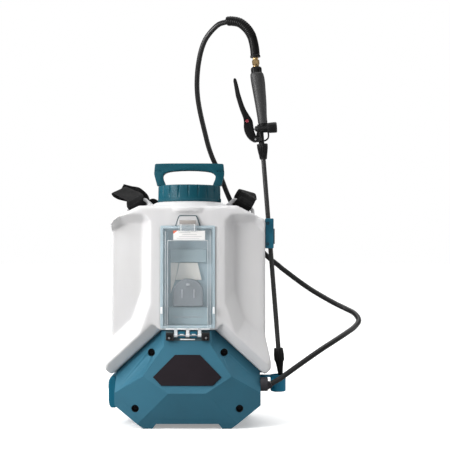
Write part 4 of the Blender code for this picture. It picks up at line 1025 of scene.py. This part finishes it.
def build_dial():
    z = 0.0850

    def knurled(radius, height, turn):
        grip = 0.0007 if radius > 0.0115 and 0.002 < height < 0.0098 and math.sin(24 * turn) < 0 else 0.0
        return radius - grip

    turn = turned_to((-0.1722, 0.0, z), -90, "Y")
    knob = turned("dial_knob", [
        (0.0, 0.0), (0.0132, 0.0), (0.0132, 0.0018), (0.0130, 0.0022), (0.0121, 0.0095), (0.0116, 0.0104),
        (0.0108, 0.0108), (0.0092, 0.0108), (0.0086, 0.0102), (0.0, 0.0102),
    ], BLACK, turn, 192, knurled)
    fit(knob, "dial", "black_plastic", "pressure_dial")
    pointer = block("dial_pointer", (-0.1829, -0.0007, z + 0.0045), (-0.1822, 0.0007, z + 0.0112), WHITE_CLIP)
    rounded(pointer, "dial", "clear_plastic", 0.0002, 1)
    for i in range(9):
        angle = math.radians(-135 + 33.75 * i)
        reach = 0.0156 + 0.0002 * (i % 2)
        centre = Vector((-0.1800, -math.sin(angle) * reach, z + math.cos(angle) * reach))
        if centre.z > 0.0985:
            continue
        tick = rod("dial_tick", centre + Vector((-0.0001, 0, 0)), centre + Vector((0.0004, 0, 0)), 0.0005,
                   WHITE_CLIP, sides=12)
        fit(tick, "frame", "clear_plastic")


# ---------------------------------------------------------------- battery bay and door


HINGE_AT = (-0.0735, 0.2045)


def build_bay():
    dress("battery_housing", BAY_TEAL, 0.0006, 2, 40)
    dress("contact_plate", CREAM, 0.0010, 2)
    dress("terminal_block", GREY, 0.0012, 2)
    dress("cable_cover", BAY_GREY, 0.0012, 2)
    dress("adapter_rail", BAY_GREY, 0.0012, 2)
    dress("battery_door", CLEAR, 0.0014, 3, 35).visible_shadow = False
    dress("door_latch", CLEAR_LATCH, 0.0006, 2, 40)

    rear = -0.0143
    for x in (-0.0135, 0.0135):
        mark = block("terminal_rib", (x - 0.0013, rear - 0.0352, 0.2860), (x + 0.0013, rear - 0.0338, 0.3060),
                     RIB_GREY)
        rounded(mark, "frame", "grey_plastic", 0.0004)
    cap = block("terminal_button", (-0.0040, rear - 0.0354, 0.3140), (0.0040, rear - 0.0338, 0.3190),
                RIB_GREY)
    rounded(cap, "frame", "grey_plastic", 0.0006)
    edge = block("rail_edge", (-0.0330, rear - 0.0212, 0.2421), (0.0330, rear - 0.0196, 0.2435), RIB_GREY)
    rounded(edge, "frame", "grey_plastic", 0.0004)
    side_plate = slab("contact_side", [
        (-0.0410, 0.3655), (-0.0225, 0.3655), (-0.0310, 0.3240), (-0.0410, 0.2950),
    ], rear - 0.0030, rear - 0.0004, CREAM)
    rounded(side_plate, "frame", "cream_plastic", 0.0006)


def build_latch():
    recess = slab("latch_recess", mirrored([(0.0165, 0.4700), (0.0215, 0.4618), (0.0255, 0.4490)]),
                  -0.0699, -0.0684, TANK)
    rounded(recess, "frame", "white_hdpe", 0.0003, 1)
    # A dark teal line around the finger recess's arched outline: painted shade, standing in for the shadow
    # along the recess's edge.
    half = [(0.0272, 0.4480), (0.0266, 0.4505), (0.0226, 0.4625), (0.0200, 0.4685), (0.0165, 0.4708)]
    outline = [(-x, z) for x, z in half] + [(0.0, 0.4708)] + half[::-1]
    outline = smooth_route([(x, -0.0697, z) for x, z in outline], 0.0012)
    rim = sweep("latch_recess_shade_line", outline, 0.0010, DARK_TEAL, sides=12)
    fit(rim, "frame", "teal_plastic")
    for x in (-0.0150, 0.0150):
        line = block("latch_guide", (x - 0.0006, -0.0770, 0.4370), (x + 0.0006, -0.0764, 0.4520),
                     WHITE_CLIP)
        rounded(line, "latch", "clear_plastic", 0.0002, 1)
    hood = block("latch_hood", (-0.0176, -0.0773, 0.4520), (0.0176, -0.0764, 0.4604), LATCH)
    rounded(hood, "latch", "smoke_plastic", 0.0004)


def build_door_edges():
    """The clear panel's moulded edges, drawn as whiter strips that paint the bright lines where they catch
    the light, a painted highlight strip along its bottom, its clips and its hinge.
    """
    # Whiter strips along the raised panel's edges and top: painted highlights for the glints where the clear
    # edges catch the light.
    for side, word in SIDES:
        for name, x, y, low, high in (("inner", 0.0449, -0.0777, 0.2216, 0.4150),
                                      ("outer", 0.0500, -0.0717, 0.2200, 0.4360)):
            glint = block(f"door_glint_{name}_{word}", (side * x - 0.0005, y - 0.0002, low),
                         (side * x + 0.0005, y + 0.0004, high), CLEAR_EDGE)
            rounded(glint, "door", "clear_plastic", 0.0002, 1)
    glint = block("door_glint_top", (-0.0445, -0.0779, 0.4145), (0.0445, -0.0773, 0.4155), CLEAR_EDGE)
    rounded(glint, "door", "clear_plastic", 0.0002, 1)

    for side, word in SIDES:
        clip = block("door_clip_" + word, (min(side * 0.0556, side * 0.0604), -0.0750, 0.2524),
                     (max(side * 0.0556, side * 0.0604), -0.0717, 0.2676), WHITE_CLIP)
        rounded(clip, "door", "clear_plastic", 0.0008)
    for i, x in enumerate((-0.0265, 0.0, 0.0265)):
        sleeve = rod(f"hinge_sleeve_{i}", (x - 0.0041, *HINGE_AT), (x + 0.0041, *HINGE_AT), 0.0041,
                     CLEAR_EDGE, sides=32)
        arm = block("hinge_arm", (x - 0.0036, -0.0726, 0.2060), (x + 0.0036, -0.0714, 0.2200))
        cut(sleeve, arm, "UNION")
        hole = rod("hinge_hole", (x - 0.01, *HINGE_AT), (x + 0.01, *HINGE_AT), 0.0019)
        cut(sleeve, hole)
        fit(baked(sleeve, arm, hole), "door", "clear_plastic")
    # A white strip on the door's bottom edge: a painted highlight where that edge catches the light.
    rim = block("door_bottom_highlight", (-0.0490, -0.0726, 0.2170), (0.0490, -0.0712, 0.2200), WHITE_CLIP)
    rounded(rim, "door", "clear_plastic", 0.0004)


def build_label():
    front = -0.0716
    label = slab("door_label", [
        (-0.0322, 0.4372), (0.0386, 0.4372), (0.0386, 0.4166), (-0.0322, 0.4166),
    ], front - 0.0003, front - 0.00002, LABEL)
    fit(label, "door", "clear_plastic")
    corner = slab("label_corner", [(-0.0322, 0.4372), (-0.0232, 0.4372), (-0.0322, 0.4300)],
                  front - 0.0004, front - 0.0002, LABEL_RED)
    fit(corner, "door", "red_plastic")
    for i, (low, high) in enumerate(((-0.020, 0.006), (-0.012, 0.020), (-0.020, 0.031), (-0.024, 0.026))):
        z = 0.4330 - 0.0042 * i
        bar = slab(f"label_bar_{i}", [
            (low, z + 0.0005), (high, z + 0.0005), (high, z - 0.0005), (low, z - 0.0005),
        ], front - 0.0004, front - 0.0002, LABEL_GREY)
        fit(bar, "door", "grey_plastic")


# ---------------------------------------------------------------- cup and clip

def build_holders():
    dress("lance_cup", CUP_TEAL, 0.0008, 2)
    dress("lance_clip", TEAL, 0.0008, 2, 40)
    for z in (0.4080, 0.4550):
        well = turned("clip_screw", [
            (0.0, -0.0004), (0.0016, -0.0004), (0.0019, 0.0005), (0.0032, 0.0004), (0.0036, -0.0006),
            (0.0036, -0.002), (0.0, -0.002),
        ], BLACK, turned_to((0.1800, -0.0320, z), 90, "X"), 32)
        fit(well, "frame", "steel")
    lug = block("clip_lug", (0.1925, -0.028, 0.4080), (0.1960, -0.008, 0.4430), BLACK)
    rounded(lug, "frame", "black_plastic", 0.0010)


# ---------------------------------------------------------------- wand

def build_lance():
    def fluted(count, depth, low, high):
        def shape(radius, height, turn):
            if low <= height <= high and radius > 0.008:
                return radius - depth * (0.5 + 0.5 * math.cos(count * turn)) ** 2
            return radius
        return shape

    nozzle = turned("nozzle_fluted", [
        (0.0, 0.0215), (0.0056, 0.0215), (0.0056, 0.0540), (0.0095, 0.0540), (0.0102, 0.0530),
        (0.0117, 0.0400), (0.0117, 0.0285), (0.0112, 0.0265), (0.0092, 0.0225), (0.0080, 0.0150),
        (0.0068, 0.0080),
        (0.0058, -0.0030), (0.0050, -0.0110), (0.0046, -0.0390), (0.0038, -0.0409), (0.0, -0.0409),
    ], RIB_BLACK, WAND, 168, fluted(14, 0.0010, 0.027, 0.052))
    fit(nozzle, "nozzle", "black_plastic", "nozzle_nut")
    dress("lance_tube", LANCE_BLACK)

    nut = turned("lance_nut_fluted", [
        (0.0056, 0.5200), (0.0118, 0.5200), (0.0125, 0.5193), (0.0124, 0.5130), (0.0122, 0.5100),
        (0.0110, 0.5020), (0.0095, 0.4940), (0.0085, 0.4875), (0.0080, 0.4850), (0.0056, 0.4845),
    ], RIB_BLACK, WAND, 168, fluted(14, 0.0011, 0.488, 0.515), closed=True)
    fit(nut, "wand", "black_plastic", "lance_nut")


def build_valve():
    dress("valve_body", RIB_BLACK, 0.0006, 2, 40)
    dress("valve_stem", STEEL)
    cap = turned("valve_cap", [
        (0.0, 0.0362), (0.0106, 0.0362), (0.0120, 0.0352), (0.0123, 0.0300), (0.0118, 0.0190),
        (0.0112, 0.0140), (0.0, 0.0140),
    ], RIB_BLACK, WAND @ turned_to((0, 0, VALVE_HEIGHT), 90, "Y"), 64)
    fit(cap, "wand", "black_plastic")
    web = slab("valve_web", [(-0.0138, 0.5340), (-0.0040, 0.5340), (-0.0040, 0.5560), (-0.0088, 0.5545)],
               -0.0050, 0.0050, RIB_BLACK)
    round_edges(web, 0.0008)
    baked(web).data.transform(WAND)
    fit(web, "wand", "black_plastic")
    boot = turned("stem_boot", [
        (0.0034, 0.0), (0.0068, 0.0), (0.0072, 0.0008), (0.0062, 0.0018), (0.0068, 0.0028), (0.0058, 0.0038),
        (0.0062, 0.0048), (0.0052, 0.0058), (0.0034, 0.0060),
    ], RUBBER, WAND @ turned_to((-0.0078, 0, VALVE_HEIGHT), -90, "Y"), 48,
        closed=True)
    fit(boot, "wand", "rubber")
    dress("lever_pin", STEEL)
    dress("lock_button", RED, 0.0004, 2)


def build_grip():
    """The grip's oval sections as (height, middle, half width, half depth), and the nut above it."""
    sections = [
        (0.5668, 0.0050, 0.0104, 0.0100), (0.5690, 0.0050, 0.0108, 0.0104), (0.5840, 0.0045, 0.0112, 0.0110),
        (0.6118, 0.0040, 0.0132, 0.0124), (0.6396, 0.0028, 0.0148, 0.0137), (0.6560, 0.0020, 0.0157, 0.0146),
        (0.6673, 0.0014, 0.0160, 0.0150), (0.6760, 0.0007, 0.0156, 0.0148), (0.6815, 0.0001, 0.0146, 0.0140),
        (0.6835, 0.0, 0.0132, 0.0128),
    ]
    route = smooth_route([(height, middle, 0) for height, middle, _, _ in sections], 0.0025)
    widths = smooth_route([(height, half_x, half_y) for height, _, half_x, half_y in sections], 0.0025)
    heights = [point.x for point in route]
    rings = []
    for place in route:
        nearest = min(widths, key=lambda size: abs(size.x - place.x))
        rings.append([
            WAND @ Vector((place.y + nearest.y * math.cos(math.tau * i / 40),
                           nearest.z * math.sin(math.tau * i / 40), place.x))
            for i in range(40)
        ])
    grip = rings_to_mesh("grip_body", rings, heights, GRIP_BLACK, 60)
    fit(grip, "wand", "black_plastic", "grip")

    def notched(radius, height, turn):
        return radius - (0.0012 if radius > 0.0095 and math.cos(10 * turn) > 0.55 and height > 0.685 else 0.0)

    fit(turned("grip_nut_notched", [
        (0.0, 0.6974), (0.0092, 0.6974), (0.0100, 0.6968), (0.0120, 0.6950), (0.0125, 0.6935),
        (0.0125, 0.6860), (0.0122, 0.6838), (0.0, 0.6838),
    ], BLACK, WAND, 160, notched), "wand", "black_plastic", "grip_nut")


def build_hose_end():
    def hexagon(radius, height, turn):
        if 0.7030 <= height <= 0.7130:
            return 0.0073 / math.cos((turn % (math.tau / 6)) - math.tau / 12)
        return radius

    fit(turned("brass_hexagon", [
        (0.0, 0.7187), (0.0058, 0.7187), (0.0064, 0.7180), (0.0064, 0.7150), (0.0061, 0.7140),
        (0.0066, 0.7132), (0.0080, 0.7130), (0.0080, 0.7122), (0.0080, 0.7038), (0.0080, 0.7030),
        (0.0070, 0.7025),
        (0.0067, 0.7015), (0.0071, 0.7005), (0.0071, 0.6977), (0.0, 0.6977),
    ], BRASS, WAND, 120, hexagon), "wand", "brass", "brass_fitting")

    path = smooth_route(GUARD_ROUTE, 0.0012)
    total = run_lengths(path)[-1]

    def ribs(length):
        """Stacked bend-relief ribs over the upper part, then a plain collar with an end flange."""
        if length < 0.002:
            return 0.0088 + 0.0014 * length / 0.002
        if total - length < 0.0045:
            return 0.0117
        if length > total * 0.62:
            return 0.0106
        return 0.0108 + 0.0004 * math.cos(math.tau * length / 0.0046)

    fit(sweep("guard_ribbed", path, ribs, RIB_BLACK, 36, 40), "wand", "black_plastic", "hose_guard")


def build_lever():
    outline = smooth_route([(x, z, 0) for x, z in (
        (-0.0545, 0.6700), (-0.0534, 0.6738), (-0.0500, 0.6746), (-0.0476, 0.6715), (-0.0450, 0.6600),
        (-0.0408, 0.6350), (-0.0330, 0.6050), (-0.0240, 0.5860), (-0.0184, 0.5745), (-0.0170, 0.5600),
        (-0.0160, 0.5500), (-0.0125, 0.5380), (-0.0105, 0.5285), (-0.0130, 0.5255), (-0.0190, 0.5260),
        (-0.0290, 0.5340),
        (-0.0365, 0.5470), (-0.0390, 0.5620), (-0.0380, 0.5800), (-0.0448, 0.6050), (-0.0515, 0.6350),
    )], 0.004)
    lever = slab("lever_curved", [(point.x, point.y) for point in outline], -0.0085, 0.0085, RIB_BLACK)
    hole = rod("lock_hole", (-0.0306, -0.02, 0.5741), (-0.0306, 0.02, 0.5741), 0.0041)
    pin_hole = rod("pin_hole", (-0.0148, -0.02, 0.5305), (-0.0148, 0.02, 0.5305), 0.0023)
    cut(lever, hole)
    cut(lever, pin_hole)
    round_edges(lever, 0.0016, 3, 50)
    baked(lever, hole, pin_hole)
    lever.data.transform(WAND)
    fit(lever, "lever", "black_plastic", "trigger_lever")


# ---------------------------------------------------------------- harness

def stitches(name, place, along, side, rows, length):
    """Rows of short raised threads, sewn along the webbing from place."""
    bm = bmesh.new()
    up = along.cross(side).normalized()
    for offset in rows:
        count = int(length / 0.0042)
        for i in range(count):
            centre = place + side * offset + along * (length * (i + 0.5) / count)
            frame_matrix = Matrix((
                (*(along * 0.0026 / 2), 0), (*(side * 0.0008 / 2), 0), (*(up * 0.0007 / 2), 0), (0, 0, 0, 1),
            )).transposed()
            frame_matrix.translation = centre
            bmesh.ops.create_uvsphere(bm, u_segments=8, v_segments=5, radius=1.0, matrix=frame_matrix)
    fit(from_bmesh(name, bm, THREAD, 80), "frame", "webbing")


PAD_SWELL = 0.0050
PAD_FRAMES = 20


def crowned_pad(name, path, half_width, thickness, mat):
    """A soft shoulder pad, blown up by cloth pressure from a slim core, then sewn across."""
    across = [RIGHT] * len(path)
    core = ribbon(name, path, across, half_width - 0.003, thickness - 0.003, mat, columns=12)
    remesh = core.modifiers.new("Remesh", "REMESH")
    remesh.mode = "VOXEL"
    remesh.voxel_size = 0.0045
    baked(core)
    core.data.shade_smooth()
    start = [vertex.co.copy() for vertex in core.data.vertices]
    scene = bpy.context.scene
    cloth = core.modifiers.new("Cloth", "CLOTH")
    settings = cloth.settings
    settings.quality = 6
    settings.mass = 0.25
    settings.tension_stiffness = 12
    settings.compression_stiffness = 12
    settings.use_pressure = True
    settings.uniform_pressure_force = 4.0
    settings.effector_weights.gravity = 0.0
    cloth.point_cache.frame_start = 1
    cloth.point_cache.frame_end = PAD_FRAMES
    for number in range(1, PAD_FRAMES + 1):
        scene.frame_set(number)
    baked(core)
    scene.frame_set(1)
    for vertex, old in zip(core.data.vertices, start):
        move = vertex.co - old
        if move.length > PAD_SWELL:
            vertex.co = old + move.normalized() * PAD_SWELL
    finer = core.modifiers.new("Finer", "SUBSURF")
    finer.levels = finer.render_levels = 1
    baked(core)
    core.data.shade_smooth()
    # Cross seams: the surface is drawn in along each sewn line.
    lengths = run_lengths(path)
    seams = [lengths[-1] * share for share in (0.16, 0.33, 0.50, 0.67, 0.84)]
    directions = tangents(path)
    for vertex in core.data.vertices:
        k = min(range(len(path)), key=lambda i: (path[i] - vertex.co).length_squared)
        run = lengths[k] + (vertex.co - path[k]).dot(directions[k])
        away = min(abs(run - seam) for seam in seams)
        pull = 0.36 * math.exp(-((away / 0.0032) ** 2))
        up = directions[k].cross(RIGHT).normalized()
        rise = (vertex.co - path[k]).dot(up)
        vertex.co -= up * rise * pull
    return core


def build_strap_loop(side, word):
    """The webbing through the tank's ear, with its sewn-down tail."""
    across = Vector((-side * math.cos(SLOT_TILT), 0, math.sin(SLOT_TILT)))
    rise = Vector((side * math.sin(SLOT_TILT), 0, math.cos(SLOT_TILT)))
    slot = Vector((side * SLOT_AT[0], SLOT_AT[1], SLOT_AT[2]))
    start = slot + rise * 0.0005
    knots = [
        start + Vector((0, 0.0132, 0)), start, start + Vector((0, -0.0105, 0.0006)),
        start + Vector((0, -0.0130, 0.0035)), slot + rise * 0.012 + Vector((0, -0.0128, 0)),
    ]
    turns = [across] * len(knots) + [Vector(turn) for turn in STRAP_TURNS[word]]
    knots += [Vector(point) for point in STRAP_ROUTES[word]]
    route = smooth_route(knots, 0.0025)
    turns = turns_along(route, knots, turns)
    strap = ribbon("strap_loop_" + word, route, turns, 0.020, 0.0024, WEBBING)
    fit(strap, "frame", "webbing", "strap_top_" + word)
    # The loop's tail lies on the strap and is sewn down in a box.
    tail = [point + Vector((0, -0.0022, 0.0006)) for point in route[6:16]]
    doubled = ribbon("strap_tail_" + word, tail, turns[6:16], 0.0195, 0.0018, WEBBING)
    fit(doubled, "frame", "webbing")
    seam_at = slot + rise * 0.0135 + Vector((0, -0.0162, 0))
    stitches("strap_sewing_" + word, seam_at - rise * 0.002, rise, across, (-0.016, 0.016), 0.011)
    stitches("strap_cross_" + word, seam_at - across * 0.016, across, rise, (-0.002, 0.009), 0.032)


def build_pad(side, word):
    knots = [
        (side * 0.1195, 0.1695, 0.5060), (side * 0.108, 0.184, 0.460), (side * 0.094, 0.190, 0.400),
        (side * 0.087, 0.188, 0.340), (side * 0.086, 0.178, 0.280), (side * 0.089, 0.162, 0.230),
    ]
    path = smooth_route(knots, 0.006)
    pad = crowned_pad("pad_" + word, path, 0.030, 0.012, PAD_MESH)
    fit(pad, "frame", "padding", "shoulder_pad_" + word)
    ups = [along.cross(RIGHT).normalized() for along in tangents(path)]
    for edge in (1, -1):
        line = pad_border(pad, path, edge)
        piping = sweep(f"pad_piping_{word}_{edge}".replace("-", "m"), line, 0.0017, PIPING, 10)
        fit(piping, "frame", "webbing")
    outward = [up if up.y > 0 else -up for up in ups]
    line = [point + up * 0.0072 for point, up in zip(path, outward)]
    centre = ribbon("pad_webbing_" + word, line, [RIGHT] * len(line), 0.0125, 0.0016, WEBBING)
    fit(centre, "frame", "webbing")


def build_lower_strap(side, word):
    low = smooth_route([
        (side * 0.0885, 0.1665, 0.2420), (side * 0.0895, 0.1600, 0.2225), (side * 0.098, 0.1480, 0.1850),
        (side * 0.112, 0.1330, 0.1400), (side * 0.124, 0.1200, 0.1000), (side * 0.130, 0.1125, 0.0760),
        (side * 0.130, 0.1100, 0.0500),
    ], 0.004)
    lower = ribbon("strap_low_" + word, low, [RIGHT * -side] * len(low), 0.0125, 0.0018, WEBBING)
    fit(lower, "frame", "webbing", "strap_lower_" + word)
    build_buckle(word, Vector((side * 0.0893, 0.1628, 0.2300)), low[4] - low[2])
    dress("strap_anchor_" + word, BLACK, 0.0014, 3)
    for offset in (-0.0145, 0.0145):
        head = turned("anchor_screw", [
            (0.0, 0.0002), (0.0012, 0.0002), (0.0014, 0.0009), (0.0026, 0.0006), (0.0030, -0.0004),
            (0.0, -0.0006),
        ], DARK_STEEL, turned_to((side * 0.130 + offset, 0.1151, 0.041), -90, "X"), 24)
        fit(head, "frame", "steel")


def build_harness():
    for side, word in SIDES:
        build_strap_loop(side, word)
        build_pad(side, word)
        build_lower_strap(side, word)
    tail = smooth_route([
        (-0.1030, 0.0655, 0.4990), (-0.0950, 0.0665, 0.5055), (-0.0870, 0.0680, 0.5085),
        (-0.0790, 0.0700, 0.5040),
    ], 0.002)
    loose = ribbon("strap_end_left", tail, [Vector((0.25, -0.2, 1.0))] * len(tail), 0.0080, 0.0022, WEBBING)
    fit(loose, "frame", "webbing")


def pad_border(pad, path, edge):
    """One long edge of a pad, as its cloth came to rest, beside each point of the pad's path."""
    found = []
    for point, along in zip(path, tangents(path)):
        near = [vertex.co for vertex in pad.data.vertices
                if abs((vertex.co - point).dot(along)) < 0.005 and (vertex.co - point).length < 0.045]
        found.append(max(near, key=lambda spot: edge * spot.x) if near else point)
    eased = []
    for i in range(len(found)):
        group = found[max(0, i - 2):i + 3]
        eased.append(sum(group, Vector()) / len(group))
    return eased


def build_buckle(word, place, along):
    """A ladder-lock: two side rails and three bars that the webbing weaves through."""
    along = along.normalized()
    side = RIGHT
    up = along.cross(side).normalized()
    if up.y < 0:
        up = -up

    def at(a, s, u):
        return place + along * a + side * s + up * u

    pieces = []
    for s in (-0.0165, 0.0165):
        pieces.append(sweep("rail", smooth_route(
            [at(-0.014, s, 0.0), at(-0.005, s, 0.0022), at(0.006, s, 0.0022), at(0.014, s, 0.001)], 0.002),
            0.0024, BLACK, 14, 60))
    for a, u in ((-0.013, 0.0004), (-0.002, 0.0048), (0.0125, 0.0012)):
        pieces.append(rod("bar", at(a, -0.0165, u), at(a, 0.0165, u), 0.0020, BLACK, sides=16))
    joined = pieces[0]
    for other in pieces[1:]:
        cut(joined, other, "UNION")
    baked(joined, *pieces[1:])
    joined.name = "strap_buckle_" + word
    fit(joined, "frame", "black_plastic")


for build in (
    build_studio, build_hose, build_tank, build_lid, build_handle, build_base, build_hinge_seat,
    build_pump_and_pod, build_bay, build_latch, build_door_edges, build_label, build_holders, build_lance,
    build_valve, build_grip, build_hose_end, build_lever, build_harness,
):
    build()
